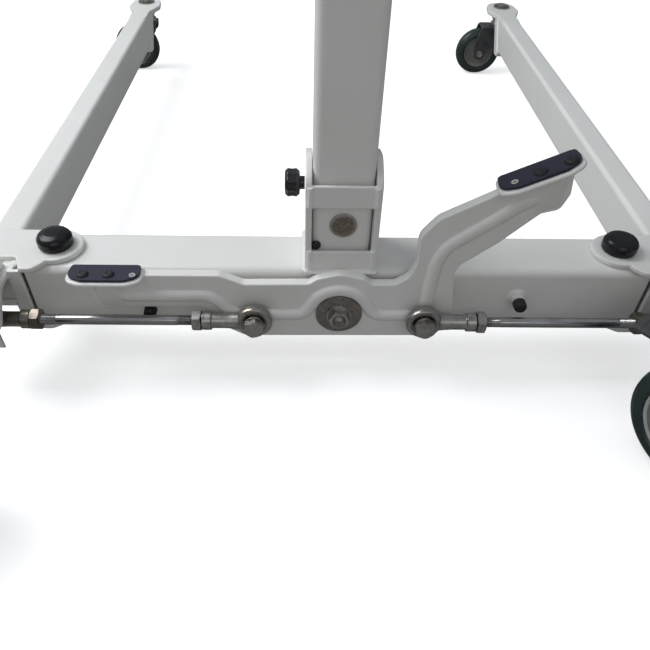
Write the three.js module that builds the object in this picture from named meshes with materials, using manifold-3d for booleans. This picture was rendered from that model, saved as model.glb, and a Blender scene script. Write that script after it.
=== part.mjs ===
// Patient lift hoist: pedal-opened base with two swinging legs, tie rods, casters,
// mast, boom, hydraulic pump and spreader bar.
// Millimetres, +Z up. The origin is the middle of the bounding box, on the floor.
// +Y towards the front of the legs, +X to the carer's right when standing at the pedals.
// Sizes are laid out from the middle of the cross-member; FRAME_X and FRAME_Y move the
// finished lift to the origin. In paired names, 0 is the lower end and 1 the upper.
import * as THREE from 'three';
import { mergeVertices } from 'three/addons/utils/BufferGeometryUtils.js';
import Module from 'manifold-3d';

const wasm = await Module();
wasm.setup();

// ---------------------------------------------------------------- driving sizes
const DEG = Math.PI / 180;
const GAP = 0.3;                           // clearance between separate pieces
const FRAME_X = 39.6, FRAME_Y = -259.9;

// cross-member: rectangular tube, half length and half depth
const CROSS_X = 300, CROSS_Y = 30, CROSS_Z0 = 52, CROSS_Z1 = 122, CROSS_WALL = 3;

// leg pivots, forks and leg tubes
const PIVOT_X = 275, PIVOT_R = 8;
const FORK_R = 25.5, FORK_T = 5.5;
const FORK_TOP = CROSS_Z1 + GAP + FORK_T, FORK_BOTTOM = CROSS_Z0 - GAP - FORK_T;
const LEG_X = 335, LEG_W = 32, LEG_Z0 = 70, LEG_Z1 = 122, LEG_WALL = 3;
const LEG_X0 = LEG_X - LEG_W / 2, LEG_X1 = LEG_X + LEG_W / 2;
const HOOD_X0 = 312, HOOD_X1 = 368, HOOD_Y0 = -79.5, HOOD_Y1 = -14, HOOD_T = 4;

// casters
const FRONT_Y = 774;                       // front swivel axis
const FRONT_WHEEL_R = 42, FRONT_TRAIL = 30, FRONT_AXLE_R = 4, FRONT_STEM_R = 6;
const FRONT_CROWN = 90;                    // top of the front fork crown
const REAR_X = 328, REAR_Y = -205;         // rear swivel axis
const REAR_WHEEL_R = 62.5, REAR_TRAIL = 40, REAR_AXLE_R = 5, REAR_STEM_R = 8;
const REAR_TURN = { left: 205, right: 120 };    // rest directions, degrees
const PEDAL_R = 122;                       // brake pedal reach from the swivel axis
const PEDAL_PIVOT = { x: 6, z: 132.5 };    // in the rear caster's frame
const WHEEL_SEG = 18;
const TREAD = 1 / Math.cos(Math.PI / WHEEL_SEG);   // puts tread flats on the wheel radius

// rocker lever and tie rods
const ROCKER_Z = 81, LEVER_Y0 = -45, LEVER_Y1 = -35;
const ROCKER_BOLT_R = 6, ROCKER_SLEEVE_R = 10;
const EYE_X = 81.7, LINK_X = 344, ROD_Y = -56.5;   // inner and outer eye centres
const LINK_PIN_X = LINK_X + 1.4;           // offset that centres the running clearance
const LINK_PIN_R = 6, EYE_BOLT_R = 5;
const ROD_R = 5, EYE_R = 17.5, BALL_R = 9.5;
const RIGHT_PAD = { x: 156, z: 236.2, tilt: 25 };

// mast and its bracket
const MAST_X = 27, MAST_Y0 = -26, MAST_Y1 = 28, MAST_TOP = 1085, MAST_WALL = 3;
const MAST_MID_Y = (MAST_Y0 + MAST_Y1) / 2;
const HEAD_X = MAST_X + 5;                 // outer face of the mast head cheeks
const BRACKET_X = 33.5, BRACKET_Y0 = -33, BRACKET_Y1 = 31.5;
const MAST_BOLT_Z = 171, MAST_BOLT_R = 5;
const KNOB_Z = 198, KNOB_R = 5;            // mast lock knob height and shank radius

// boom and pump; ARM is the pivot-to-pin distance, equal on mast and boom
const ARM = 440, BOOM_DEG = 12, BOOM_LEN = 720, LUG_DROP = 45;
const LUG_X0 = 12, LUG_X1 = 17;            // faces of the pump lugs
const BOOM_PIN_R = 8, PUMP_PIN_R = 6, HANGER_PIN_R = 5;
const BOOM_PIVOT = { y: MAST_MID_Y, z: 1120 };
const PUMP_BASE_Y = 70;
const PUMP_BASE = {
  y: PUMP_BASE_Y,
  z: BOOM_PIVOT.z - Math.sqrt(ARM ** 2 - (PUMP_BASE_Y - BOOM_PIVOT.y) ** 2),
};
const LUG_REACH = Math.sqrt(ARM ** 2 - LUG_DROP ** 2);   // lug pin along the boom
const BOOM_COS = Math.cos(BOOM_DEG * DEG), BOOM_SIN = Math.sin(BOOM_DEG * DEG);
const PUMP_TOP = {
  y: BOOM_PIVOT.y + LUG_REACH * BOOM_COS + LUG_DROP * BOOM_SIN,
  z: BOOM_PIVOT.z + LUG_REACH * BOOM_SIN - LUG_DROP * BOOM_COS,
};
const BOOM_END = {
  y: BOOM_PIVOT.y + BOOM_LEN * BOOM_COS,
  z: BOOM_PIVOT.z + BOOM_LEN * BOOM_SIN,
};
const HANG = 158;                          // boom end pin down to the spreader bar's frame

// ---------------------------------------------------------------- materials
const standard = options => new THREE.MeshStandardMaterial(options);
const PAINT = standard({ color: 0xe6e7e2, roughness: 0.38, metalness: 0 });
const ZINC = standard({ color: 0xa9a8a2, roughness: 0.35, metalness: 0.9 });
const BRIGHT = standard({ color: 0xd0d2d4, roughness: 0.15, metalness: 1 });
const RUBBER = standard({ color: 0x22242c, roughness: 0.8, metalness: 0 });
const BLACK = standard({ color: 0x16171b, roughness: 0.35, metalness: 0 });
const STEEL = standard({ color: 0x3c3f42, roughness: 0.45, metalness: 0.8 });
const TYRE = standard({ color: 0x23302e, roughness: 0.6, metalness: 0 });
const GREY = standard({ color: 0x45474d, roughness: 0.55, metalness: 0 });
const RED = standard({ color: 0xa8201a, roughness: 0.4, metalness: 0 });

// ---------------------------------------------------------------- outlines
// outline with rounded corners: [u, v, radius]; corners up to 6 are single chamfers
function rounded(points) {
  const outline = [];
  points.forEach(([u, v, radius = 0], i) => {
    if (radius <= 0) {
      outline.push([u, v]);
      return;
    }
    const before = points.at(i - 1), after = points[(i + 1) % points.length];
    const back = new THREE.Vector2(before[0] - u, before[1] - v);
    const ahead = new THREE.Vector2(after[0] - u, after[1] - v);
    const half = back.angleTo(ahead) / 2;
    const limit = 0.499 * Math.min(back.length(), ahead.length());
    const trim = Math.min(radius / Math.tan(half), limit);
    const fitted = trim * Math.tan(half);
    back.normalize();
    ahead.normalize();
    const toCentre = back.clone().add(ahead).setLength(fitted / Math.sin(half));
    const start = back.multiplyScalar(trim).sub(toCentre).angle();
    let sweep = ahead.multiplyScalar(trim).sub(toCentre).angle() - start;
    if (Math.abs(sweep) > Math.PI) sweep -= Math.sign(sweep) * 2 * Math.PI;
    const steps = radius <= 6 ? 1 : 2;
    for (let k = 0; k <= steps; k++) {
      const angle = start + sweep * k / steps;
      outline.push([
        u + toCentre.x + fitted * Math.cos(angle),
        v + toCentre.y + fitted * Math.sin(angle),
      ]);
    }
  });
  return outline;
}
const rectangle = (u0, u1, v0, v1, radius) =>
  rounded([[u0, v0, radius], [u1, v0, radius], [u1, v1, radius], [u0, v1, radius]]);
const polygon = (u, v, radius, count, phase) => Array.from({ length: count }, (_, i) => {
  const angle = 2 * Math.PI * (i + phase) / count;
  return [u + radius * Math.cos(angle), v + radius * Math.sin(angle)];
});
const disc = (u, v, radius, count) => polygon(u, v, radius, count, 0.5);
const hexagon = (u, v, acrossFlats) => polygon(u, v, acrossFlats / Math.sqrt(3), 6, 0);
// plan outline drawn for the right (side 1), mirrored for the left (side -1)
const sided = (side, points) => points.map(([x, ...rest]) => [side * x, ...rest]);
// path given from the left end to the middle, completed to the right end
const acrossX = half => [...half, ...sided(-1, half.slice(0, -1)).reverse()];

// ---------------------------------------------------------------- solids
// welds a closed geometry, drops collapsed triangles and turns all faces outwards
function toSolid(geometry) {
  geometry.deleteAttribute('normal');
  geometry.deleteAttribute('uv');
  const welded = mergeVertices(geometry, 1e-4);
  const positions = welded.attributes.position.array, index = welded.index.array;
  const corner = i => new THREE.Vector3().fromArray(positions, 3 * i);
  const triangles = [];
  let volume = 0;
  for (let i = 0; i < index.length; i += 3) {
    const [a, b, c] = index.slice(i, i + 3);
    if (a === b || b === c || a === c) continue;
    triangles.push(a, b, c);
    volume += corner(a).dot(corner(b).cross(corner(c)));
  }
  if (volume < 0) {
    for (let i = 0; i < triangles.length; i += 3) {
      [triangles[i], triangles[i + 1]] = [triangles[i + 1], triangles[i]];
    }
  }
  return new wasm.Manifold(new wasm.Mesh({
    numProp: 3,
    vertProperties: new Float32Array(positions),
    triVerts: new Uint32Array(triangles),
  }));
}
const join = (...solids) => solids.reduce((a, b) => a.add(b));
const cut = (body, ...tools) => tools.reduce((a, b) => a.subtract(b), body);
const pair = make => join(make(-1), make(1));
const ordered = (a, b) => [Math.min(a, b), Math.max(a, b)];

function box(xa, xb, ya, yb, za, zb) {
  const [x0, x1] = ordered(xa, xb), [y0, y1] = ordered(ya, yb), [z0, z1] = ordered(za, zb);
  const geometry = new THREE.BoxGeometry(x1 - x0, y1 - y0, z1 - z0);
  geometry.translate((x0 + x1) / 2, (y0 + y1) / 2, (z0 + z1) / 2);
  return toSolid(geometry);
}
const shapeOf = outline => new THREE.Shape(outline.map(([u, v]) => new THREE.Vector2(u, v)));
const prism = (outline, depth) =>
  new THREE.ExtrudeGeometry(shapeOf(outline), { depth, bevelEnabled: false, steps: 1 });
const TURN_TO_X = new THREE.Matrix4().makeBasis(
  new THREE.Vector3(0, 1, 0), new THREE.Vector3(0, 0, 1), new THREE.Vector3(1, 0, 0));
// (y, z) outline pushed along X
function extrudeX(outline, xa, xb) {
  const [x0, x1] = ordered(xa, xb);
  return toSolid(prism(outline, x1 - x0).applyMatrix4(TURN_TO_X).translate(x0, 0, 0));
}
// (x, z) outline pushed along Y
function extrudeY(outline, ya, yb) {
  const [y0, y1] = ordered(ya, yb);
  return toSolid(prism(outline, y1 - y0).rotateX(Math.PI / 2).translate(0, y1, 0));
}
// (x, y) outline pushed along Z
const extrudeZ = (outline, z0, z1) => toSolid(prism(outline, z1 - z0).translate(0, 0, z0));

const cylinderX = (y, z, r, x0, x1) => extrudeX(disc(y, z, r, 12), x0, x1);
const cylinderY = (x, z, r, y0, y1, n = 12) => extrudeY(disc(x, z, r, n), y0, y1);
const cylinderZ = (x, y, r, z0, z1, n = 12) => extrudeZ(disc(x, y, r, n), z0, z1);

// turned piece: profile of [radius, distance along axis], starting and ending on the axis
function turned(profile, axis, [x, y, z] = [0, 0, 0], count = 12) {
  const geometry = new THREE.LatheGeometry(profile.map(q => new THREE.Vector2(...q)), count);
  geometry.rotateY(Math.PI / count);
  if (axis === 'z') geometry.rotateX(Math.PI / 2);
  if (axis === 'x') geometry.rotateZ(-Math.PI / 2);
  return toSolid(geometry.translate(x, y, z));
}
// round bar along a smooth path
function bar(points, radius, steps) {
  const vectors = points.map(q => new THREE.Vector3(...q));
  const extrudePath = new THREE.CatmullRomCurve3(vectors, false, 'centripetal');
  const options = { steps, bevelEnabled: false, extrudePath };
  return toSolid(new THREE.ExtrudeGeometry(shapeOf(disc(0, 0, radius, 8)), options));
}
// pin lying along X through a pair of lugs whose outer faces are at +-lugX
function crossPin({ shankR, headR, headT, tipR, tipT, lugX }, { y, z }) {
  const reach = lugX + GAP, tip = headT + 2 * reach;
  return turned([
    [0, 0], [headR, 0], [headR, headT], [shankR, headT],
    [shankR, tip], [tipR, tip], [tipR, tip + tipT], [0, tip + tipT],
  ], 'x', [-reach - headT, y, z]);
}
const PUMP_PIN = { shankR: PUMP_PIN_R, headR: 9, headT: 4, tipR: 8.5, tipT: 3.4, lugX: LUG_X1 };

// ---------------------------------------------------------------- scene
const root = new THREE.Group();
function put(name, body, material, parent = root) {
  const { vertProperties, triVerts } = body.getMesh();
  const geometry = new THREE.BufferGeometry();
  geometry.setAttribute('position', new THREE.BufferAttribute(vertProperties, 3));
  geometry.setIndex(new THREE.BufferAttribute(triVerts, 1));
  const flat = geometry.toNonIndexed();
  flat.computeVertexNormals();
  const mesh = new THREE.Mesh(flat, material);
  mesh.name = name;
  parent.add(mesh);
}
function addGroup(parent, x, y, z, turn = 0) {
  const group = new THREE.Group();
  group.position.set(x, y, z);
  group.rotation.z = turn;
  parent.add(group);
  return group;
}

// ---------------------------------------------------------------- cross-member
function addCrossMember() {
  const pegY = -38;                        // rear end of the stop pegs
  const stops = [
    { name: 'right', x: 176, z: 91, pegR: 7, rubberR: 6.2 },
    { name: 'left', x: -184, z: 79.6, pegR: 5, rubberR: 6.4 },
  ];
  const wall = CROSS_WALL;
  const tube = cut(
    extrudeX(rectangle(-CROSS_Y, CROSS_Y, CROSS_Z0, CROSS_Z1, 8), -CROSS_X, CROSS_X),
    extrudeX(rectangle(-CROSS_Y + wall, CROSS_Y - wall, CROSS_Z0 + wall, CROSS_Z1 - wall, 5),
      -CROSS_X - 1, CROSS_X + 1));
  put('cross_member', cut(
    join(
      tube,
      pair(side => cylinderZ(side * PIVOT_X, 0, 11, CROSS_Z0 + 1, CROSS_Z1 - 1)),
      cylinderY(0, ROCKER_Z, 17, LEVER_Y1 + GAP, -CROSS_Y + 1),
      ...stops.map(({ x, z, pegR }) => cylinderY(x, z, pegR, pegY, -CROSS_Y + 1))),
    pair(side => cylinderZ(side * PIVOT_X, 0, PIVOT_R + GAP, CROSS_Z0 - 5, CROSS_Z1 + 5)),
    cylinderY(0, ROCKER_Z, ROCKER_BOLT_R + GAP, -60, 60)), PAINT);
  for (const { name, x, z, rubberR } of stops) {
    put('stop_rubber_' + name, cylinderY(x, z, rubberR, -49, pegY - GAP), RUBBER);
  }
}

// ---------------------------------------------------------------- mast and bracket
const mastBoltHole = (y0, y1) => cylinderY(0, MAST_BOLT_Z, MAST_BOLT_R + GAP, y0, y1);
const knobHole = () => cylinderX(MAST_MID_Y, KNOB_Z, KNOB_R + GAP, -40, -20);

function addMastBracket() {
  const bottom = CROSS_Z1 + GAP;
  const cheek = rounded([                  // [y, z, radius]
    [BRACKET_Y0, bottom], [BRACKET_Y1, bottom], [BRACKET_Y1, 208, 10],
    [18, 224, 14], [-8, 231, 16], [BRACKET_Y0, 218, 12],
  ]);
  // cheeks, two rear strips and the front plate
  put('mast_bracket', cut(
    join(
      pair(side => extrudeX(cheek, side * (MAST_X + GAP), side * BRACKET_X)),
      box(-BRACKET_X, BRACKET_X, BRACKET_Y0, -29.3, bottom, 146),
      box(-BRACKET_X, BRACKET_X, BRACKET_Y0, -29.3, 192, 214),
      box(-BRACKET_X, BRACKET_X, MAST_Y1 + GAP, BRACKET_Y1, bottom, 205)),
    mastBoltHole(20, 40), knobHole()), PAINT);

  const boltY = MAST_Y0 - GAP;
  const shank = [[0, 0], [5, 0], [5, 58.2], [8.5, 58.2], [8.5, 64.5], [0, 64.5]];
  const head = [
    [0, 0], [12.3, 0], [12.3, -1.4], [10.6, -1.4], [8.5, -2.2], [4.5, -2.9], [0, -3.1],
  ];
  put('mast_bolt', join(
    turned(shank, 'y', [0, boltY, MAST_BOLT_Z]),
    turned(head, 'y', [0, boltY + 0.1, MAST_BOLT_Z], 16)), ZINC);

  const neckEnd = 18;                      // end of the knob neck, against the cheek
  put('mast_lock_knob', turned([
    [0, 0], [11, 0], [13, 2.5], [13, 11], [10.5, 13.5], [6, 13.5],
    [6, neckEnd], [KNOB_R, neckEnd], [KNOB_R, 29], [0, 29],
  ], 'x', [-BRACKET_X - GAP - neckEnd, MAST_MID_Y, KNOB_Z], 20), BLACK);
}

function addMast() {
  const tube = cut(
    extrudeZ(rectangle(-MAST_X, MAST_X, MAST_Y0, MAST_Y1, 6), CROSS_Z1 + 2 * GAP, MAST_TOP),
    extrudeZ(rectangle(-MAST_X + MAST_WALL, MAST_X - MAST_WALL,
      MAST_Y0 + MAST_WALL, MAST_Y1 - MAST_WALL, 3), CROSS_Z1, MAST_TOP + 1));
  const cheek = rounded([                  // [y, z, radius]
    [-24, 1010, 6], [26, 1010, 6], [30, 1120, 12],
    [18, 1146, 14], [-16, 1146, 14], [-28, 1120, 12],
  ]);
  const { y, z } = PUMP_BASE;
  const lug = rounded([                    // [y, z, radius]
    [MAST_Y1 - 1, z - 45], [y + 4, z - 16, 12], [y + 16, z, 12],
    [y + 4, z + 14, 12], [MAST_Y1 - 1, z + 34],
  ]);
  put('mast', cut(
    join(
      tube,
      pair(side => extrudeX(cheek, side * (MAST_X - 0.5), side * HEAD_X)),
      pair(side => extrudeX(lug, side * LUG_X0, side * LUG_X1)),
      box(-MAST_X, MAST_X, MAST_Y1 - 8, MAST_Y1 + 4, z - 60, z + 48)),
    cylinderX(BOOM_PIVOT.y, BOOM_PIVOT.z, BOOM_PIN_R + GAP, -60, 60),
    cylinderX(y, z, PUMP_PIN_R + GAP, -60, 60),
    mastBoltHole(-60, 60), knobHole()), PAINT);
  const boomPin = { shankR: BOOM_PIN_R, headR: 12, headT: 5, tipR: 11, tipT: 5, lugX: HEAD_X };
  put('boom_pivot_pin', crossPin(boomPin, BOOM_PIVOT), ZINC);
  put('pump_base_pin', crossPin(PUMP_PIN, PUMP_BASE), ZINC);
}

function addPushHandle() {
  const gripY = -192, gripZ = 994;
  const path = acrossX([                   // left root round to the middle: [x, y, z]
    [-18, -41, 958], [-70, -43, 960], [-140, -58, 966], [-196, -92, 976],
    [-214, -140, 985], [-200, -176, 991], [-170, -190, gripZ], [-148, gripY, gripZ],
    [-134, gripY, gripZ], [0, gripY, gripZ],
  ]);
  const block = box(-31, 31, -42, MAST_Y0 - GAP, 928, 990);
  put('push_handle', join(bar(path, 12, 34), block), PAINT);
  for (const [name, side] of [['left', -1], ['right', 1]]) {
    put('handle_grip_' + name, cut(
      cylinderX(gripY, gripZ, 16, side * 128, side * 32),
      cylinderX(gripY, gripZ, 13, side * 130, side * 30)), BLACK);
  }
}

// ---------------------------------------------------------------- rocker lever and pads
const LEVER_OUTLINE = [                    // [x, z, radius]
  [-243, 127], [-240, 113, 6], [-229, 84, 7], [-216, 86.9, 3], [-134, 87.6, 10],
  [-110, 60, 12], [-93, 49.6, 14], [88, 51, 16], [112, 76, 16], [105, 132, 12],
  [109, 141, 8], [139, 166.5, 12], [168, 197, 6], [183, 201, 8], [188, 216, 6],
  [184, 248], [128, 222], [130, 217, 6], [82, 190, 20], [68, 171, 16],
  [69, 143, 16], [64, 126, 14], [51, 117, 8], [30, 117, 8], [22, 123, 6],
  [0, 129, 20], [-22, 123, 6], [-30, 117, 8], [-91, 116, 12], [-113, 126.3, 12],
  [-183, 126.3], [-183, 127],
];
const toRightPad = body =>
  body.rotate([0, -RIGHT_PAD.tilt, 0]).translate([RIGHT_PAD.x, 0, RIGHT_PAD.z]);

function addRocker() {
  put('pedal_lever', cut(
    join(
      extrudeY(rounded(LEVER_OUTLINE), LEVER_Y0, LEVER_Y1),
      cylinderY(0, ROCKER_Z, 23, LEVER_Y0, LEVER_Y1, 20),
      extrudeZ(rectangle(-252, -182, -62, LEVER_Y1, 8), 125.5, 129.2),
      toRightPad(extrudeZ(rectangle(-34, 34, -62, LEVER_Y1, 8), -2, 1.6))),
    cylinderY(0, ROCKER_Z, ROCKER_SLEEVE_R + 2 * GAP, -60, -30, 20),
    pair(side => cylinderY(side * EYE_X, ROCKER_Z, EYE_BOLT_R + GAP, -60, -30))), PAINT);
  put('pedal_pad_left', extrudeZ(rectangle(-251, -183, -61, -36, 8), 129.5, 132.6), RUBBER);
  put('pedal_pad_right',
    toRightPad(extrudeZ(rectangle(-33, 33, -61, -36, 8), 1.9, 5)), RUBBER);
  // sleeve in the lever, shank through the tube, washer and hex head behind, nut in front
  put('rocker_pivot_bolt', join(
    cylinderY(0, ROCKER_Z, ROCKER_SLEEVE_R, LEVER_Y0 - 0.5, LEVER_Y1 + GAP / 2 - 0.1, 20),
    cylinderY(0, ROCKER_Z, ROCKER_BOLT_R, LEVER_Y1 - 1, CROSS_Y + 12),
    cylinderY(0, ROCKER_Z, 22.5, LEVER_Y0 - 2.8, LEVER_Y0 - GAP, 20),
    extrudeY(hexagon(0, ROCKER_Z, 14), LEVER_Y0 - 10.5, LEVER_Y0 - 2.7),
    extrudeY(hexagon(0, ROCKER_Z, 19), CROSS_Y + GAP, CROSS_Y + 10)), ZINC);
}

// ---------------------------------------------------------------- tie rods
const COLLAR_END = 50;                     // eye centre to the end of the rod-end collar

// eye with shank and collar; at() turns a distance from the eye centre into x
const rodEnd = (eye, eyeCore, at) => cut(
  join(
    eye,
    cut(cylinderX(0, 0, 7.6, at(EYE_R - 3), at(41)), eyeCore),
    cylinderX(0, 0, 9.2, at(40.5), at(COLLAR_END))),
  cylinderX(0, 0, ROD_R + GAP, at(26), at(60)));

const jamNut = at => cut(
  extrudeX(hexagon(0, 0, 19), at(COLLAR_END + GAP), at(COLLAR_END + GAP + 9)),
  cylinderX(0, 0, ROD_R + GAP, at(COLLAR_END - 2), at(COLLAR_END + 12)));

function addTieRod(name, side) {
  // the group's origin is the inner eye
  const group = addGroup(root, side * EYE_X, ROD_Y, ROCKER_Z);
  const length = LINK_X - EYE_X;
  const fromInner = u => side * u, fromOuter = u => side * (length - u);
  const ballEnd = 7, ballEndR = Math.sqrt(BALL_R ** 2 - ballEnd ** 2);
  const ball = turned([
    [0, -ballEnd], [ballEndR, -ballEnd], [8.2, -4.8], [9.2, -2.4], [BALL_R, 0],
    [9.2, 2.4], [8.2, 4.8], [ballEndR, ballEnd], [0, ballEnd],
  ], 'y');
  put('rod_end_bolt_' + name, join(
    ball,
    cylinderY(0, 0, EYE_BOLT_R, 6, LEVER_Y1 - ROD_Y - GAP),
    extrudeY(hexagon(0, 0, 18), -14.5, -7.9),
    cylinderY(0, 0, 9.6, -8.1, -6.9)), ZINC, group);

  // the inner eye stands upright round the ball
  const socket = toSolid(new THREE.SphereGeometry(BALL_R + 1.1, 12, 6));
  const innerEye = cut(cylinderY(0, 0, EYE_R, -5.2, 4.6, 20), socket);
  const innerCore = cylinderY(0, 0, EYE_R - 2.5, -12, 12);
  put('rod_end_inner_' + name, rodEnd(innerEye, innerCore, fromInner), ZINC, group);
  put('tie_rod_' + name,
    cylinderX(0, 0, ROD_R, fromInner(26.5), fromOuter(26.5)), BRIGHT, group);
  put('jam_nut_inner_' + name, jamNut(fromInner), ZINC, group);
  put('jam_nut_outer_' + name, jamNut(fromOuter), ZINC, group);

  // the outer eye lies flat, its bore with running clearance on the link pin
  const eyeX = fromOuter(0);
  const outerEye = cylinderZ(eyeX, 0, EYE_R, -5, 5, 20);
  const outerCore = cylinderZ(eyeX, 0, EYE_R - 2.5, -12, 12);
  put('rod_end_outer_' + name, cut(
    rodEnd(outerEye, outerCore, fromOuter),
    cylinderZ(eyeX, 0, 6.9, -20, 20)), ZINC, group);
}

// ---------------------------------------------------------------- casters
// Each caster group stands on its swivel axis, with the wheel trailing towards local +X.

// half profile [radius, y] runs outwards from the axis; the other half mirrors it
function wheel(half, boreR) {
  const profile = [...half.map(([r, y]) => [r, -y]), ...[...half].reverse()];
  return cut(turned(profile, 'y', [0, 0, 0], WHEEL_SEG), cylinderY(0, 0, boreR, -20, 20));
}

function addFrontCaster(name, side) {
  const group = addGroup(root, side * LEG_X, FRONT_Y, 0, Math.PI);
  // stem with a nut head on top and the bearing stack below
  put('front_stem_' + name, turned([
    [0, FRONT_CROWN + 0.4], [14, FRONT_CROWN + 0.4], [14, 96], [11, 96.4], [11, 102],
    [13, 102.4], [13, 107], [10, 107.4], [10, 113.4], [FRONT_STEM_R, 113.4],
    [FRONT_STEM_R, 122.6], [14.5, 122.6], [14.5, 124.6], [12, 126.8], [0, 127.4],
  ], 'z'), ZINC, group);
  const plate = rounded([                  // [x, z, radius]
    [-15, FRONT_CROWN, 2], [33, FRONT_CROWN, 5], [38, 74, 12],
    [FRONT_TRAIL + 12, 46, 8], [FRONT_TRAIL + 7, 31, 8], [FRONT_TRAIL - 7, 31, 8],
    [FRONT_TRAIL - 16, 50, 10], [-13, 74, 8],
  ]);
  const nut = hexagon(FRONT_TRAIL, FRONT_WHEEL_R, 11);
  put('front_fork_' + name, join(
    pair(face => extrudeY(plate, face * 14.2, face * 17)),
    box(-15, 33, -16.9, 16.9, FRONT_CROWN - 3, FRONT_CROWN),
    cylinderY(FRONT_TRAIL, FRONT_WHEEL_R, FRONT_AXLE_R, -19, 19),
    pair(face => extrudeY(nut, face * 16.9, face * 21.5))), STEEL, group);
  put('front_wheel_' + name, wheel([
    [0, 13], [9, 13], [9, 9], [27, 9], [29, 12.5], [37, 12], [FRONT_WHEEL_R * TREAD, 5],
  ], FRONT_AXLE_R + GAP), TYRE, addGroup(group, FRONT_TRAIL, 0, FRONT_WHEEL_R));
}

// two arms outside the fork and a broad fan-shaped tread ahead of the wheel
function brakePedal() {
  const arm = rounded([                    // [x, z, radius]
    [-1, 126, 5], [-1, 138.5, 5], [14, 138.5, 4], [66, 141, 6],
    [96, 137, 3], [96, 131.5], [64, 134, 6], [14, 127, 4],
  ]);
  const arc = [];
  for (let k = -4; k <= 4; k++) {
    const angle = k / 4 * 14.6 * DEG;
    const cornerR = Math.abs(k) === 4 ? 9 : 0;
    arc.push([PEDAL_R * Math.cos(angle), PEDAL_R * Math.sin(angle), cornerR]);
  }
  return cut(
    join(
      pair(face => extrudeY(arm, face * 20, face * 24.3)),
      extrudeZ(rounded([[80, -24.5, 4], ...arc, [80, 24.5, 4]]), 131.4, 137.5)),
    cylinderY(PEDAL_PIVOT.x, PEDAL_PIVOT.z, 3.8, -40, 40));
}

function addRearCaster(name, side) {
  const group = addGroup(root, side * REAR_X, REAR_Y, 0, REAR_TURN[name] * DEG);
  put('rear_stem_' + name, turned([
    [0, 141.3], [18, 141.3], [18, 146], [13, 147], [13, 151.4], [REAR_STEM_R, 151.4],
    [REAR_STEM_R, 164.2], [12, 164.2], [12, 172], [0, 172],
  ], 'z'), ZINC, group);
  const plate = rounded([                  // [x, z, radius]
    [-20, 141, 3], [34, 141, 8], [54, 112, 18], [REAR_TRAIL + 13, 64, 10],
    [REAR_TRAIL + 9, 50, 10], [REAR_TRAIL - 9, 50, 10], [REAR_TRAIL - 22, 90, 16],
    [-16, 124, 8],
  ]);
  const plateY = 19.6;                     // outer face of the fork plates
  put('rear_fork_' + name, cut(
    join(
      pair(face => extrudeY(plate, face * 16.5, face * plateY)),
      box(-20, 30, -19.5, 19.5, 137, 141),
      pair(face => cylinderY(PEDAL_PIVOT.x, PEDAL_PIVOT.z, 3.4, face * 19, face * 24.5))),
    cylinderY(REAR_TRAIL, REAR_WHEEL_R, REAR_AXLE_R + GAP, -30, 30)), STEEL, group);
  const nut = hexagon(REAR_TRAIL, REAR_WHEEL_R, 15);
  put('rear_axle_' + name, join(
    cylinderY(REAR_TRAIL, REAR_WHEEL_R, REAR_AXLE_R, -21, 21),
    pair(face => extrudeY(nut, face * (plateY + GAP), face * 26))), ZINC, group);
  put('rear_wheel_' + name, wheel([
    [0, 15], [13, 15], [13, 9], [45, 9], [47, 14], [57, 13], [REAR_WHEEL_R * TREAD, 5],
  ], REAR_AXLE_R + GAP), TYRE, addGroup(group, REAR_TRAIL, 0, REAR_WHEEL_R));
  put('brake_pedal_' + name, brakePedal(), GREY, group);
}

// ---------------------------------------------------------------- legs
const sidedBox = (side, xa, xb, ...rest) => box(side * xa, side * xb, ...rest);

// rectangular tube, raked at the front and open at the back inside the hood
function legTube(side) {
  const wide = outline => extrudeX(outline, side * (LEG_X0 - 5), side * (LEG_X1 + 5));
  const section = (inset, radius) => rectangle(side * (LEG_X0 + inset),
    side * (LEG_X1 - inset), LEG_Z0 + inset, LEG_Z1 - inset, radius);
  const rake = [                           // [y, z]
    [-20, LEG_Z0], [709, LEG_Z0], [750, LEG_Z1 - 6], [750, LEG_Z1], [-20, LEG_Z1],
  ];
  const innerRake = [
    [-40, LEG_Z0 - 10], [692, LEG_Z0 - 10], [745, LEG_Z1 - 6],
    [745, LEG_Z1 + 9], [-40, LEG_Z1 + 9],
  ];
  return cut(
    extrudeY(section(0, 5), -20, 752).intersect(wide(rake)),
    extrudeY(section(LEG_WALL, 2), -21, 752).intersect(wide(innerRake)));
}

// raked strip closing the front, a little proud of the tube sides, hanging below its floor
function closingStrip(side) {
  const strip = rounded([[746, 117], [701, 60, 9], [679, 63, 7], [723, 117]]);
  return cut(
    extrudeX(strip, side * (LEG_X0 - 1.6), side * (LEG_X1 + 1.6)),
    sidedBox(side, LEG_X0 + LEG_WALL, LEG_X1 - LEG_WALL, 670, 745, LEG_Z0 + LEG_WALL, 114));
}

// plate over the front end that takes the caster stem
function casterPlate(side) {
  return extrudeZ(rounded(sided(side, [    // [x, y, radius]
    [LEG_X0, 690, 4], [LEG_X0, 722, 10], [LEG_X - 29, 756, 20], [LEG_X - 23, 801, 22],
    [LEG_X + 23, 801, 22], [LEG_X + 29, 756, 20], [LEG_X1, 722, 10], [LEG_X1, 690, 4],
  ])), 114, LEG_Z1 + 0.2);
}

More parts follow.
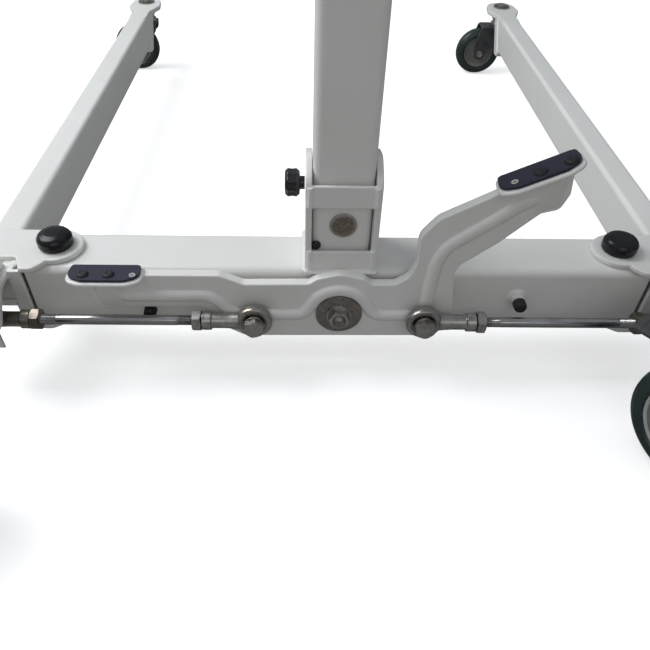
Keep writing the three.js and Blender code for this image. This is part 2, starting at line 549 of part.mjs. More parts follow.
// hood around the tie-rod end, open below; its rear and outer walls are thinner so that
// the rod end swings clear
function hood(side) {
  const x0 = HOOD_X0 + HOOD_T, x1 = HOOD_X1 - 2.6;
  const y0 = HOOD_Y0 + 2.2, y1 = HOOD_Y1 - HOOD_T;
  return cut(
    extrudeZ(rounded(sided(side, [
      [HOOD_X0, HOOD_Y0, 8], [HOOD_X1, HOOD_Y0, 8], [HOOD_X1, HOOD_Y1, 4], [HOOD_X0, HOOD_Y1, 4],
    ])), LEG_Z0, LEG_Z1),
    extrudeZ(rounded(sided(side, [[x0, y0, 5], [x1, y0, 5], [x1, y1, 2], [x0, y1, 2]])),
      LEG_Z0 - 5, LEG_Z1 - HOOD_T));
}

// arched opening in the inner side of the hood
function hoodMouth(side) {
  const arch = rounded([                   // [y, z, radius]
    [-28, LEG_Z0 - 6], [-28, 98, 14], [-34, 117, 12],
    [-54, 117, 12], [-78, 84, 10], [-78, LEG_Z0 - 6],
  ]);
  return extrudeX(arch, side * (HOOD_X0 - 5), side * (HOOD_X0 + HOOD_T + 1));
}

// plates above and below the cross-member and the webs that join them to the tube
function legFork(side) {
  const nose = [];
  for (let k = 1; k <= 7; k++) {
    const angle = (270 - 22.5 * k) * DEG;
    nose.push([PIVOT_X + FORK_R * Math.cos(angle), FORK_R * Math.sin(angle)]);
  }
  const plate = (middle, z0) => extrudeZ(rounded(sided(side, [
    [PIVOT_X, FORK_R], ...middle, [278, -25, 4], [PIVOT_X, -FORK_R], ...nose,
  ])), z0, z0 + FORK_T);
  const top = [
    [PIVOT_X + 24, FORK_R], [LEG_X1 - 4, FORK_R, 6], [LEG_X1 - 4, -20, 3], [308, -20, 3],
    [300, -38.5, 4], [288, -38.5, 10], [281, -30, 6],
  ];
  const low = [
    [LEG_X0 + 3, FORK_R, 3], [LEG_X0 + 3, -34, 6], [290, -34, 10], [281, -28, 6],
  ];
  const webZ0 = CROSS_Z0 - GAP - 1, topZ = CROSS_Z1 + GAP;
  const webs = [                           // [x, x, y, y, z, z]
    [308, 313, -34, FORK_R, webZ0, topZ + 1],
    [301, 314, -36.5, -32, webZ0, topZ + 0.2],     // closes the view of the tube end
    [309, LEG_X0 + 1, 16, FORK_R, LEG_Z0 - 18, LEG_Z1 + 0.5],
    [309, LEG_X0 + 1, -26, -15, LEG_Z0 - 18, LEG_Z1 + 0.5],
    [LEG_X0 + 0.5, LEG_X0 + 3, -26, FORK_R, webZ0, LEG_Z0 + 3],
  ];
  return [plate(top, topZ), plate(low, FORK_BOTTOM), ...webs.map(w => sidedBox(side, ...w))];
}

// raised arm behind the hood that carries the rear caster
function casterArm(side) {
  const gooseneck = rounded([              // [y, z, radius]
    [-26, LEG_Z1 - 0.5], [-26, 128, 3], [-38, 133, 10], [-52, 164, 12], [-228, 164, 3],
    [-228, 152, 3], [-64, 152, 10], [-54, 126, 8], [-58, LEG_Z1 - 0.5],
  ]);
  const plate = rounded(sided(side, [      // [x, y, radius]
    [REAR_X - 16, -228, 14], [REAR_X + 18, -228, 14],
    [REAR_X + 20, -178, 8], [REAR_X - 10, -150, 8],
  ]));
  return join(extrudeX(gooseneck, side * 318, side * 335.8), extrudeZ(plate, 152, 164));
}

function leg(side) {
  const front = cut(
    join(legTube(side), closingStrip(side), casterPlate(side)),
    cylinderZ(side * LEG_X, FRONT_Y, FRONT_STEM_R + GAP, 100, 140),
    sidedBox(side, LEG_X0 - 2, LEG_X1 + 2, -19.9, -40, LEG_Z0 - 5, LEG_Z1 - HOOD_T));
  const hooded = cut(
    front.add(hood(side)),
    sidedBox(side, LEG_X - 10, LEG_X + 10, -24, -10, LEG_Z0 + 6, LEG_Z1 - 8),
    hoodMouth(side));
  const forked = cut(
    join(hooded, ...legFork(side)),
    cylinderZ(side * PIVOT_X, 0, PIVOT_R + GAP, 30, 140),
    cylinderZ(side * 316, 0, 2.6, 40, 60, 8));   // drains the pocket between web and tube
  return cut(
    forked.add(casterArm(side)),
    cylinderZ(side * REAR_X, REAR_Y, REAR_STEM_R + GAP, 140, 180),
    cylinderZ(side * LINK_PIN_X, ROD_Y, LINK_PIN_R + GAP, 100, 140));
}

function addLeg(name, side) {
  const pivotX = side * PIVOT_X;
  put('leg_' + name, leg(side), PAINT);
  put('link_pin_' + name, turned([
    [0, 67], [8.5, 67], [8.5, 73.6], [4, 73.6], [4, 88.4], [9, 88.4], [9, 117.6],
    [LINK_PIN_R, 117.6], [LINK_PIN_R, 122.3], [9, 122.3], [9, 125.8], [0, 125.8],
  ], 'z', [side * LINK_PIN_X, ROD_Y, 0]), ZINC);
  put('leg_pivot_bolt_' + name, join(
    cylinderZ(pivotX, 0, PIVOT_R, 36, 133),
    extrudeZ(hexagon(pivotX, 0, 22), 34, FORK_BOTTOM - GAP),
    extrudeZ(hexagon(pivotX, 0, 19), FORK_TOP + GAP, 135)), ZINC);
  const cap = turned([
    [0, 128.4], [16.2, 128.4], [16.8, 130], [16.6, 137], [15, 140], [10, 142], [0, 142.8],
  ], 'z', [pivotX, 0, 0], 20);
  put('pivot_cap_' + name, cut(cap, cylinderZ(pivotX, 0, 12, 120, 136)), BLACK);
}

// ---------------------------------------------------------------- boom
// drawn level from its pivot, then tipped to its rest angle
function addBoom() {
  const lug = rounded([                    // [y, z, radius]
    [LUG_REACH - 34, -21], [LUG_REACH - 10, -LUG_DROP - 11, 8],
    [LUG_REACH + 10, -LUG_DROP - 11, 8], [LUG_REACH + 34, -21],
  ]);
  const tube = cut(
    extrudeY(rectangle(-20, 20, -22, 22, 5), -26, BOOM_LEN + 14),
    extrudeY(rectangle(-17, 17, -19, 19, 3), -30, BOOM_LEN + 20));
  const boom = cut(
    join(
      tube,
      cylinderX(0, 0, 14, -20, 20),
      pair(side => extrudeX(lug, side * LUG_X0, side * LUG_X1))),
    cylinderX(0, 0, BOOM_PIN_R + GAP, -60, 60),
    cylinderX(LUG_REACH, -LUG_DROP, PUMP_PIN_R + GAP, -60, 60),
    cylinderX(BOOM_LEN, 0, HANGER_PIN_R + GAP, -60, 60),
    box(-12, 12, BOOM_LEN - 26, BOOM_LEN + 30, -30, 10));   // slot for the hanger
  put('boom', boom.rotate([BOOM_DEG, 0, 0]).translate([0, BOOM_PIVOT.y, BOOM_PIVOT.z]), PAINT);
}

// ---------------------------------------------------------------- pump
// drawn along +Z from the base pin, then leaned towards the boom lug
function addPump() {
  const rise = PUMP_TOP.z - PUMP_BASE.z, run = PUMP_TOP.y - PUMP_BASE.y;
  const length = Math.hypot(rise, run), angle = Math.atan2(rise, run) / DEG;
  const lean = body => body.rotate([angle - 90, 0, 0]).translate([0, PUMP_BASE.y, PUMP_BASE.z]);
  const eyeR = 13, eyeX = LUG_X0 - 0.4;    // end eyes, between the lugs
  const leverZ = 58, leverR = 5;           // cross shaft of the pump handle

  const barrel = turned([
    [0, 14], [20, 14], [28, 22], [28, 96], [24, 104], [21.5, 106],
    [21.5, 372], [23.5, 374], [23.5, 385], [0, 385],
  ], 'z');
  const bore = turned([[0, 30], [11.5, 30], [11.5, 390], [0, 390]], 'z');
  put('pump_body', lean(cut(
    join(
      cut(barrel, bore),
      cylinderX(0, 0, eyeR, -eyeX, eyeX),
      box(-eyeX, eyeX, -11, 11, 0, 18),
      box(26, 33, -16, 16, 40, 76),
      box(-34, -26, -12, 12, 44, 70)),
    cylinderX(0, 0, PUMP_PIN_R + GAP, -30, 30),
    cylinderX(0, leverZ, leverR + GAP, 28, 60))), PAINT);
  put('release_knob', lean(turned([
    [0, -18], [11, -18], [14, -15], [14, -4], [13, -1.4], [4, -1.4], [4, 0], [0, 0],
  ], 'x', [-34 - GAP, 0, 57])), RED);

  // handle beside the mast: hub, bent bar and shaft
  const path = [[0, 0, 0], [0, -26, 22], [4, -84, 58], [10, -150, 92], [12, -200, 112]];
  put('pump_handle', lean(join(
    cylinderX(0, leverZ, 16, 33 + GAP, 39.8),
    bar(path, 8, 9).translate([46, 0, leverZ]),
    cylinderX(0, leverZ, 10, 33.5, 48),
    cylinderX(0, leverZ, leverR, 28.6, 34))), BLACK);

  put('pump_ram', lean(cut(
    join(
      cylinderZ(0, 0, 11, length - 405, length - 18),
      cylinderX(0, length, eyeR, -eyeX, eyeX),
      box(-9, 9, -9, 9, length - 22, length - 4)),
    cylinderX(0, length, PUMP_PIN_R + GAP, -30, 30))), BRIGHT);
  put('pump_top_pin', crossPin(PUMP_PIN, PUMP_TOP), ZINC);
}

// ---------------------------------------------------------------- hanger and spreader bar
function addSpreader() {
  const bossTop = 44;                      // swivel boss of the spreader bar
  const seat = bossTop - HANG;             // its top face, from the boom end pin
  const link = rounded([[-9, 12, 8], [9, 12, 8], [9, seat + 18, 6], [-9, seat + 18, 6]]);
  const hanger = join(
    extrudeY(link, -9, 9),
    cylinderX(0, 0, HANGER_PIN_R, -24, 24),
    pair(side => cylinderX(0, 0, 8.5, side * 20.4, side * 27)),
    cylinderZ(0, 0, 14, seat + 0.6, seat + 18),
    cylinderZ(0, 0, 6, seat - 25, seat + 2),
    cylinderZ(0, 0, 10, seat - 32, seat - 24.8));
  put('hanger', hanger.translate([0, BOOM_END.y, BOOM_END.z]), ZINC);

  const path = acrossX([                   // left hook to the middle: [x, y, z]
    [-174, 0, -8], [-180, 0, -32], [-167, 0, -48], [-149, 0, -42], [-142, 0, -18],
    [-128, 0, -1], [-84, 0, 17], [-42, 0, 25], [0, 0, 28],
  ]);
  const spreader = cut(
    join(bar(path, 10, 30), cylinderZ(0, 0, 17, 14, bossTop)),
    cylinderZ(0, 0, 6.4, 0, 60),
    cylinderZ(0, 0, 10.6, 0, 19.6));
  put('spreader_bar', spreader.translate([0, BOOM_END.y, BOOM_END.z - HANG]), PAINT);
}

// ---------------------------------------------------------------- assembly
const SIDES = [['left', -1], ['right', 1]];
addCrossMember();
addMastBracket();
addMast();
addPushHandle();
addRocker();
for (const [name, side] of SIDES) addTieRod(name, side);
for (const [name, side] of SIDES) {
  addLeg(name, side);
  addFrontCaster(name, side);
  addRearCaster(name, side);
}
addBoom();
addPump();
addSpreader();

root.position.set(FRAME_X, FRAME_Y, 0);
export default root;
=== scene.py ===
# A wheeled lift: a cross-member and mast at the rear, two legs on casters reaching forward, a boom
# held up by a pump, a hanger with a spreader bar, and a foot rocker joined to the legs by tie rods.
# +Y is forward, +X is right, +Z is up and the floor is z = 0. Sizes are in millimetres, with x and
# y measured from the middle of the cross-member until mesh_from turns them into metres.
import math
import bpy
import bmesh
import numpy as np
from mathutils import Vector, Matrix


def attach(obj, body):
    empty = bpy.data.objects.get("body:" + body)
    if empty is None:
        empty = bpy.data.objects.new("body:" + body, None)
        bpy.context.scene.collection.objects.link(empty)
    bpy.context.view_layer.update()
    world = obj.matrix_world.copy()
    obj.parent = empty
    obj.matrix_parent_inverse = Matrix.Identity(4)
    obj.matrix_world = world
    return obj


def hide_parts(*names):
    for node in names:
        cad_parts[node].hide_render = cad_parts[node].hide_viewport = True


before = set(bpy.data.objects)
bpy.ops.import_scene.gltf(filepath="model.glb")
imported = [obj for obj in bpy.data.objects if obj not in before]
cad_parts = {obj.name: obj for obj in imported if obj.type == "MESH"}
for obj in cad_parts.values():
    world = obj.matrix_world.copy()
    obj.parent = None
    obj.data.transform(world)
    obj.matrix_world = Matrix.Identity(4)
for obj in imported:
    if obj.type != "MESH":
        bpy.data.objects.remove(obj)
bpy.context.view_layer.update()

MM = 0.001
DEG = math.pi / 180
SCENE = bpy.context.scene
SHIFT_X, SHIFT_Y = 39.6, -259.9     # from the middle of the cross-member to the scene's origin
SIDES = (("left", -1), ("right", 1))

# ------------------------------------------------------------------ driving sizes
WALL = 3                            # of every box tube
CROSS_BOX = (-30, 30, 52, 122)      # y, y, z, z
MAST_BOX = (-27, 27, -26, 28)       # x, x, y, y
MAST_TOP = 1085
PIVOT_Y, PIVOT_Z = 1, 1120          # boom pivot
PUMP_ARM = 440                      # boom pivot to either end of the pump
PUMP_Y = 70                         # foot of the pump
PUMP_Z = PIVOT_Z - math.sqrt(PUMP_ARM ** 2 - (PUMP_Y - PIVOT_Y) ** 2)
BOOM_RISE = 12.0                    # degrees above level
BOOM_REACH = 720                    # boom pivot to hanger pin
BOOM_LUG_DROP = 45                  # pump pin below the boom's axis
ROCKER_Z = 81                       # rocker pivot, and the height of the tie rods
TIE_X, TIE_Y = 81.7, -56.5          # inner end of the right tie rod
TIE_LENGTH = 344 - TIE_X
LEG_IN, LEG_OUT = 319, 351          # x of the leg tube's side faces
LEG_LOW, LEG_HIGH = 70, 122         # z of its lower and upper faces
LEG_PIVOT_X, LEG_PIVOT_R = 275, 25.5
FRONT_X, FRONT_Y = 335, 774         # front caster stem
REAR_X, REAR_Y = 328, -205          # rear caster stem


# ------------------------------------------------------------------ materials
class Nodes:
    """A node tree with short ways to add and link nodes."""

    def __init__(self, tree):
        self.tree = tree

    def feed(self, socket, value):
        """Link another socket into this one, or set its value."""
        if isinstance(value, bpy.types.NodeSocket):
            self.tree.links.new(value, socket)
        else:
            socket.default_value = (*value, 1) if socket.type == "RGBA" else value

    def set(self, node, **inputs):
        for key, value in inputs.items():
            self.feed(node.inputs[key.replace("_", " ")], value)

    def add(self, kind, **inputs):
        node = self.tree.nodes.new("ShaderNode" + kind)
        self.set(node, **inputs)
        return node

    def remap(self, value, to=(0.0, 1.0), span=(0.3, 0.7)):
        node = self.add("MapRange", From_Min=span[0], From_Max=span[1], To_Min=to[0],
                        To_Max=to[1], Value=value)
        return node.outputs["Result"]

    def mix(self, factor, first, second):
        node = self.add("Mix")
        node.data_type = "RGBA"
        # 6 and 7 are the colour sockets A and B
        for i, value in ((6, first), (7, second), (0, factor)):
            self.feed(node.inputs[i], value)
        return node.outputs[2]

    def times(self, value, factor):
        node = self.add("Math")
        node.operation = "MULTIPLY"
        self.feed(node.inputs[0], value)
        self.feed(node.inputs[1], factor)
        return node.outputs[0]


class Finish(Nodes):
    """A material and the name of its slot."""

    def __init__(self, name, slot):
        self.material = bpy.data.materials.new(name)
        self.material.use_nodes = True
        self.slot = slot
        super().__init__(self.material.node_tree)
        self.bsdf = self.tree.nodes["Principled BSDF"]
        self.position = self.coordinates()

    def coordinates(self, x_scale=1.0):
        source = self.add("TexCoord").outputs["Object"]
        return self.add("Mapping", Vector=source, Scale=(x_scale, 1, 1)).outputs["Vector"]

    def noise(self, scale, detail=3.0, rough=0.5, vector=None):
        node = self.add("TexNoise", Scale=scale, Detail=detail, Roughness=rough,
                        Vector=vector or self.position)
        return node.outputs["Fac"]

    def pointiness(self):
        return self.add("NewGeometry").outputs["Pointiness"]

    def surface(self, **inputs):
        self.set(self.bsdf, **inputs)

    def bump(self, *layers):
        """Stack bumps; each layer is (height, strength, distance in metres)."""
        normal = None
        for height, strength, distance in layers:
            node = self.add("Bump", Strength=strength, Distance=distance, Height=height)
            if normal is not None:
                self.set(node, Normal=normal)
            normal = node.outputs["Normal"]
        self.surface(Normal=normal)


def powder_coat():
    coat = Finish("ivory_powder_coat", "ivory_paint")
    broad = coat.noise(scale=9, detail=2)
    fine = coat.noise(scale=60, detail=4, rough=0.6)
    colour = coat.mix(coat.remap(broad), (0.775, 0.775, 0.745), (0.815, 0.82, 0.80))
    # dust: a ramp from black to white
    dust = coat.add("ValToRGB", Fac=fine)
    for element, position in zip(dust.color_ramp.elements, (0.35, 0.75)):
        element.position = position
    dust = dust.outputs["Color"]
    colour = coat.mix(coat.times(dust, factor=0.10), colour, (0.62, 0.60, 0.56))
    # convex edges painted brighter: a painted edge highlight, with a little rubbing; inner corners
    # painted darker: painted shade in the manner of ambient occlusion, with a little grime
    pointiness = coat.pointiness()
    edge = coat.remap(pointiness, span=(0.51, 0.60))
    colour = coat.mix(coat.times(edge, factor=0.35), colour, (0.90, 0.90, 0.88))
    # inner corners darkened: painted shade, with a little grime
    crease_shade_and_grime = coat.remap(pointiness, to=(1.0, 0.0), span=(0.40, 0.49))
    colour = coat.mix(coat.times(crease_shade_and_grime, factor=0.45), colour, (0.40, 0.38, 0.34))
    peel = coat.noise(scale=520, detail=2, rough=0.45)
    coat.surface(Base_Color=colour, Roughness=coat.remap(fine, to=(0.30, 0.42)),
                 Coat_Weight=0.25, Coat_Roughness=0.14)
    coat.bump((peel, 0.10, 0.0004), (coat.noise(scale=90, detail=2), 0.06, 0.0006))
    return coat


def zinc(name, light, dark, rough):
    plate = Finish(name, "zinc_plate")
    grain = plate.noise(scale=130, detail=4, rough=0.65)
    cells = plate.add("TexVoronoi", Scale=420, Vector=plate.position).outputs["Distance"]
    colour = plate.mix(plate.remap(grain), dark, light)
    colour = plate.mix(plate.times(cells, factor=0.35), colour, (0.56, 0.57, 0.58))
    blotch = plate.remap(plate.noise(scale=34), span=(0.5, 0.72))
    colour = plate.mix(plate.times(blotch, factor=0.45), colour, (0.40, 0.32, 0.20))
    plate.surface(Base_Color=colour, Metallic=1.0, Roughness=plate.remap(grain, to=rough))
    plate.bump((plate.noise(scale=900, detail=2), 0.12, 0.0002), (grain, 0.10, 0.0004))
    return plate


def bright_nickel():
    nickel = Finish("bright_nickel", "bright_nickel")
    tone = nickel.noise(scale=45)
    scratches = nickel.noise(scale=30, detail=2, vector=nickel.coordinates(x_scale=60))
    colour = nickel.mix(nickel.remap(tone), (0.32, 0.315, 0.31), (0.43, 0.43, 0.44))
    nickel.surface(Base_Color=colour, Metallic=1.0,
                   Roughness=nickel.remap(scratches, to=(0.10, 0.24)))
    nickel.bump((nickel.noise(scale=700, detail=2), 0.05, 0.0002))
    return nickel


def rubber(name, slot, dark, light, rough, grain=1400, grain_depth=0.35):
    finish = Finish(name, slot)
    tone = finish.noise(scale=70, detail=4, rough=0.6)
    colour = finish.mix(finish.remap(tone), dark, light)
    specks = finish.remap(finish.noise(scale=900, detail=2), span=(0.55, 0.75))
    speck_colour = tuple(min(1.0, x * 2.2 + 0.01) for x in light)
    colour = finish.mix(finish.times(specks, factor=0.25), colour, speck_colour)
    finish.surface(Base_Color=colour, Roughness=finish.remap(tone, to=rough),
                   Specular_IOR_Level=0.35)
    finish.bump((finish.noise(scale=grain, detail=2), grain_depth, 0.0004), (tone, 0.1, 0.001))
    return finish


def plastic(name, slot, dark, light, rough, coat=0.0, grain=600, grain_depth=0.06):
    finish = Finish(name, slot)
    tone = finish.noise(scale=40)
    finish.surface(Base_Color=finish.mix(finish.remap(tone), dark, light))
    patches = finish.noise(scale=110, detail=4, rough=0.6)
    finish.surface(Roughness=finish.remap(patches, to=rough), Coat_Weight=coat)
    finish.bump((finish.noise(scale=grain, detail=2), grain_depth, 0.0003),
                (tone, 0.08, 0.0015))
    return finish


def pressed_steel():
    steel = Finish("dark_pressed_steel", "dark_steel")
    tone = steel.noise(scale=85, detail=4, rough=0.6)
    colour = steel.mix(steel.remap(tone), (0.050, 0.056, 0.060), (0.105, 0.110, 0.112))
    edge = steel.remap(steel.pointiness(), span=(0.52, 0.60))
    colour = steel.mix(steel.times(edge, factor=0.5), colour, (0.28, 0.28, 0.27))
    steel.surface(Base_Color=colour, Metallic=0.55, Roughness=steel.remap(tone, to=(0.28, 0.48)))
    steel.bump((steel.noise(scale=600), 0.15, 0.0003))
    return steel


PAINT = powder_coat()
ZINC = zinc("zinc_plate", light=(0.46, 0.455, 0.45), dark=(0.24, 0.225, 0.20),
            rough=(0.24, 0.42))
ZINC_DARK = zinc("zinc_aged", light=(0.25, 0.22, 0.185), dark=(0.13, 0.105, 0.08),
                 rough=(0.28, 0.46))
BRONZE = zinc("zinc_yellowed", light=(0.22, 0.165, 0.12), dark=(0.12, 0.085, 0.055),
              rough=(0.30, 0.48))
NICKEL = bright_nickel()
NAVY = rubber("navy_rubber", "navy_rubber", dark=(0.020, 0.021, 0.038),
              light=(0.034, 0.035, 0.058), rough=(0.55, 0.8))
BLACK = plastic("black_gloss_plastic", "black_plastic", dark=(0.008, 0.008, 0.010),
                light=(0.016, 0.016, 0.019), rough=(0.14, 0.30))
CAP_BLACK = plastic("black_cap_plastic", "black_plastic", dark=(0.006, 0.006, 0.008),
                    light=(0.012, 0.012, 0.015), rough=(0.20, 0.30))
CAP_BLACK.surface(Specular_IOR_Level=0.28)
BLACK_RUBBER = rubber("black_rubber", "navy_rubber", dark=(0.010, 0.010, 0.011),
                      light=(0.020, 0.020, 0.022), rough=(0.45, 0.65))
GRIP = rubber("grip_rubber", "grip_rubber", dark=(0.014, 0.014, 0.015),
              light=(0.026, 0.026, 0.028), rough=(0.6, 0.85), grain=1000, grain_depth=0.5)
STEEL = pressed_steel()
TYRE = plastic("tyre_dark_green", "tyre_green_black", dark=(0.012, 0.026, 0.024),
               light=(0.024, 0.044, 0.041), rough=(0.22, 0.42), coat=0.1, grain=260,
               grain_depth=0.15)
HUB = plastic("hub_grey_brown", "tyre_green_black", dark=(0.17, 0.165, 0.155),
              light=(0.24, 0.235, 0.22), rough=(0.35, 0.55), grain=700, grain_depth=0.2)
HUB_RING = plastic("hub_light_ring", "tyre_green_black", dark=(0.42, 0.43, 0.42),
                   light=(0.52, 0.53, 0.52), rough=(0.35, 0.5), grain=700, grain_depth=0.15)
BRAKE = plastic("brake_grey_plastic", "brake_plastic", dark=(0.050, 0.050, 0.054),
                light=(0.085, 0.085, 0.090), rough=(0.38, 0.58), grain=800, grain_depth=0.25)
RED = plastic("red_plastic", "red_plastic", dark=(0.40, 0.02, 0.015),
              light=(0.52, 0.035, 0.025), rough=(0.28, 0.42))
PALE_HOLE = plastic("pale_hole_edge", "ivory_paint", dark=(0.60, 0.60, 0.58),
                    light=(0.7, 0.7, 0.68), rough=(0.5, 0.7))


# ------------------------------------------------------------------ outlines
def rounded(points, steps=8, closed=True):
    """Round the corners of a line of (u, v) or (u, v, radius) points."""
    result = []
    count = len(points)
    for i, (x, y, *corner) in enumerate(points):
        radius = corner[0] if corner else 0
        if radius <= 0 or (not closed and i in (0, count - 1)):
            result.append((x, y))
            continue
        before, after = points[i - 1], points[(i + 1) % count]
        ax, ay, bx, by = before[0] - x, before[1] - y, after[0] - x, after[1] - y
        a_length, b_length = math.hypot(ax, ay), math.hypot(bx, by)
        cosine = max(-1, min(1, (ax * bx + ay * by) / (a_length * b_length)))
        angle = math.acos(cosine)
        if angle > math.pi - 1e-3:
            result.append((x, y))
            continue
        ax, ay, bx, by = ax / a_length, ay / a_length, bx / b_length, by / b_length
        cut = min(radius / math.tan(angle / 2), a_length * 0.499, b_length * 0.499)
        radius = cut * math.tan(angle / 2)
        dx, dy = ax + bx, ay + by
        length = math.hypot(dx, dy)
        cx = x + dx / length * radius / math.sin(angle / 2)
        cy = y + dy / length * radius / math.sin(angle / 2)
        start = math.atan2(y + ay * cut - cy, x + ax * cut - cx)
        sweep_angle = math.atan2(y + by * cut - cy, x + bx * cut - cx) - start
        while sweep_angle > math.pi:
            sweep_angle -= 2 * math.pi
        while sweep_angle < -math.pi:
            sweep_angle += 2 * math.pi
        for k in range(steps + 1):
            turned = start + sweep_angle * k / steps
            result.append((cx + radius * math.cos(turned), cy + radius * math.sin(turned)))
    return result


def rect(u0, u1, v0, v1, r=0):
    u0, u1 = sorted((u0, u1))
    return rounded([(u0, v0, r), (u1, v0, r), (u1, v1, r), (u0, v1, r)])


def counterclockwise(outline):
    """The outline without repeated points, running counterclockwise."""
    clean = [outline[0]]
    for point in outline[1:]:
        if math.dist(point, clean[-1]) > 1e-4:
            clean.append(point)
    if math.dist(clean[0], clean[-1]) < 1e-4:
        clean.pop()
    area2 = sum(clean[i - 1][0] * clean[i][1] - clean[i][0] * clean[i - 1][1]
                for i in range(len(clean)))
    return clean if area2 > 0 else clean[::-1]


def inset(outline, depth):
    if depth == 0:
        return list(outline)
    result = []
    count = len(outline)
    for i in range(count):
        before, point, after = (np.array(outline[j % count], float) for j in (i - 1, i, i + 1))
        edge1 = point - before
        edge1 /= np.linalg.norm(edge1)
        edge2 = after - point
        edge2 /= np.linalg.norm(edge2)
        normal = np.array([-edge1[1], edge1[0]])
        mitre = normal + np.array([-edge2[1], edge2[0]])
        length = np.linalg.norm(mitre)
        if length < 1e-6:
            mitre = normal
            cosine = 1.0
        else:
            mitre /= length
            cosine = max(0.35, float(mitre @ normal))
        result.append((point[0] + mitre[0] * depth / cosine,
                       point[1] + mitre[1] * depth / cosine))
    return result


def flipped(profile, span=0):
    """A profile turned end for end, so that height t becomes span - t."""
    return [(radius, span - t, *corner) for radius, t, *corner in profile[::-1]]


def symmetric(profile):
    """A lower half profile and its mirror image above."""
    return profile + flipped(profile)


def both_halves(path):
    """A path from the left to the middle, carried on to the right."""
    return path + [(-x, *rest) for x, *rest in path[-2::-1]]


def smooth_path(points, steps=10):
    """Catmull-Rom curve through the points."""
    points = [np.array(p, float) for p in points]
    points = [2 * points[0] - points[1]] + points + [2 * points[-1] - points[-2]]
    result = []
    for i in range(1, len(points) - 2):
        p0, p1, p2, p3 = points[i - 1:i + 3]
        for step in range(steps):
            t = step / steps
            result.append(0.5 * ((2 * p1) + (-p0 + p2) * t
                                 + (2 * p0 - 5 * p1 + 4 * p2 - p3) * t * t
                                 + (-p0 + 3 * p1 - 3 * p2 + p3) * t ** 3))
    result.append(points[-2])
    return result


# ------------------------------------------------------------------ shapes: (vertices, faces)
def extruded_point(axis, u, v, w):
    return {"z": (u, v, w), "y": (u, w, v), "x": (w, u, v)}[axis]


def turned_point(axis, radius, angle, t, centre):
    u, v = radius * math.cos(angle), radius * math.sin(angle)
    x, y, z = {"z": (u, v, t), "y": (v, t, u), "x": (t, u, v)}[axis]
    return x + centre[0], y + centre[1], z + centre[2]


def bands(rings, sides, closed=False):
    """Quads between neighbouring rings of vertices."""
    faces = []
    for j in range(rings if closed else rings - 1):
        a, b = j * sides, (j + 1) % rings * sides
        for i in range(sides):
            k = (i + 1) % sides
            faces.append((a + i, a + k, b + k, b + i))
    return faces


def caps(rings, sides):
    return [tuple(range(sides))[::-1], tuple(range((rings - 1) * sides, rings * sides))]


def prism(outline, axis, start, end, edge=0.8, steps=3):
    """Outline pushed along an axis, with rims rounded to the radius edge."""
    outline = counterclockwise(outline)
    start, end = min(start, end), max(start, end)
    edge = min(edge, (end - start) * 0.49)
    if edge > 0:
        angles = [j / steps * math.pi / 2 for j in range(steps + 1)]
        rim = [(edge * (1 - math.sin(a)), edge * (1 - math.cos(a))) for a in angles]
        rings = [(d, start + h) for d, h in rim] + [(d, end - h) for d, h in rim[::-1]]
    else:
        rings = [(0, start), (0, end)]
    vertices = [extruded_point(axis, u, v, w) for d, w in rings for u, v in inset(outline, d)]
    count = len(outline)
    return vertices, bands(len(rings), count) + caps(len(rings), count)


def box_tube(box, radii, axis, start, end, edge, shear=None):
    """Open box tube; radii are the outer and inner corner radius."""
    u0, u1 = sorted(box[:2])
    v0, v1 = box[2:]
    outer = counterclockwise(rect(u0, u1, v0, v1, radii[0]))
    inner = counterclockwise(rect(u0 + WALL, u1 - WALL, v0 + WALL, v1 - WALL, radii[1]))

    def lip(outline, depth, w, sign):
        return [(inset(outline, depth), w), (inset(outline, depth * 0.3), w + sign * edge * 0.3),
                (outline, w + sign * edge)]

    rings = (lip(inner, -edge, start, 1)[::-1] + lip(outer, edge, start, 1)
             + lip(outer, edge, end, -1)[::-1] + lip(inner, -edge, end, -1))
    vertices = [extruded_point(axis, u, v, w) for outline, w in rings for u, v in outline]
    if shear:
        vertices = [shear(p) for p in vertices]
    return vertices, bands(len(rings), len(outer), closed=True)


def lathe(profile, axis, centre=(0, 0, 0), sides=48, closed=False):
    """Turned piece. profile: (radius, height[, corner radius]) along the axis."""
    vertices, faces, rings = [], [], []
    for radius, t in rounded(profile, 4, closed):
        count = 1 if radius < 1e-6 else sides
        radius = 0 if count == 1 else radius
        rings.append(range(len(vertices), len(vertices) + count))
        vertices += [turned_point(axis, radius, 2 * math.pi * i / sides, t, centre)
                     for i in range(count)]
    for j in range(len(rings) if closed else len(rings) - 1):
        a, b = rings[j], rings[(j + 1) % len(rings)]
        for i in range(sides):
            k = (i + 1) % sides
            if len(a) == 1:
                faces.append((a[0], b[k], b[i]))
            elif len(b) == 1:
                faces.append((a[i], a[k], b[0]))
            else:
                faces.append((a[i], a[k], b[k], b[i]))
    return vertices, faces


def cylinder(axis, centre, radius, start, end, sides=48, edge=0.4):
    """Plain turned cylinder with broken edges."""
    return lathe([(0, start), (radius, start, edge), (radius, end, edge), (0, end)],
                 axis, centre, sides)


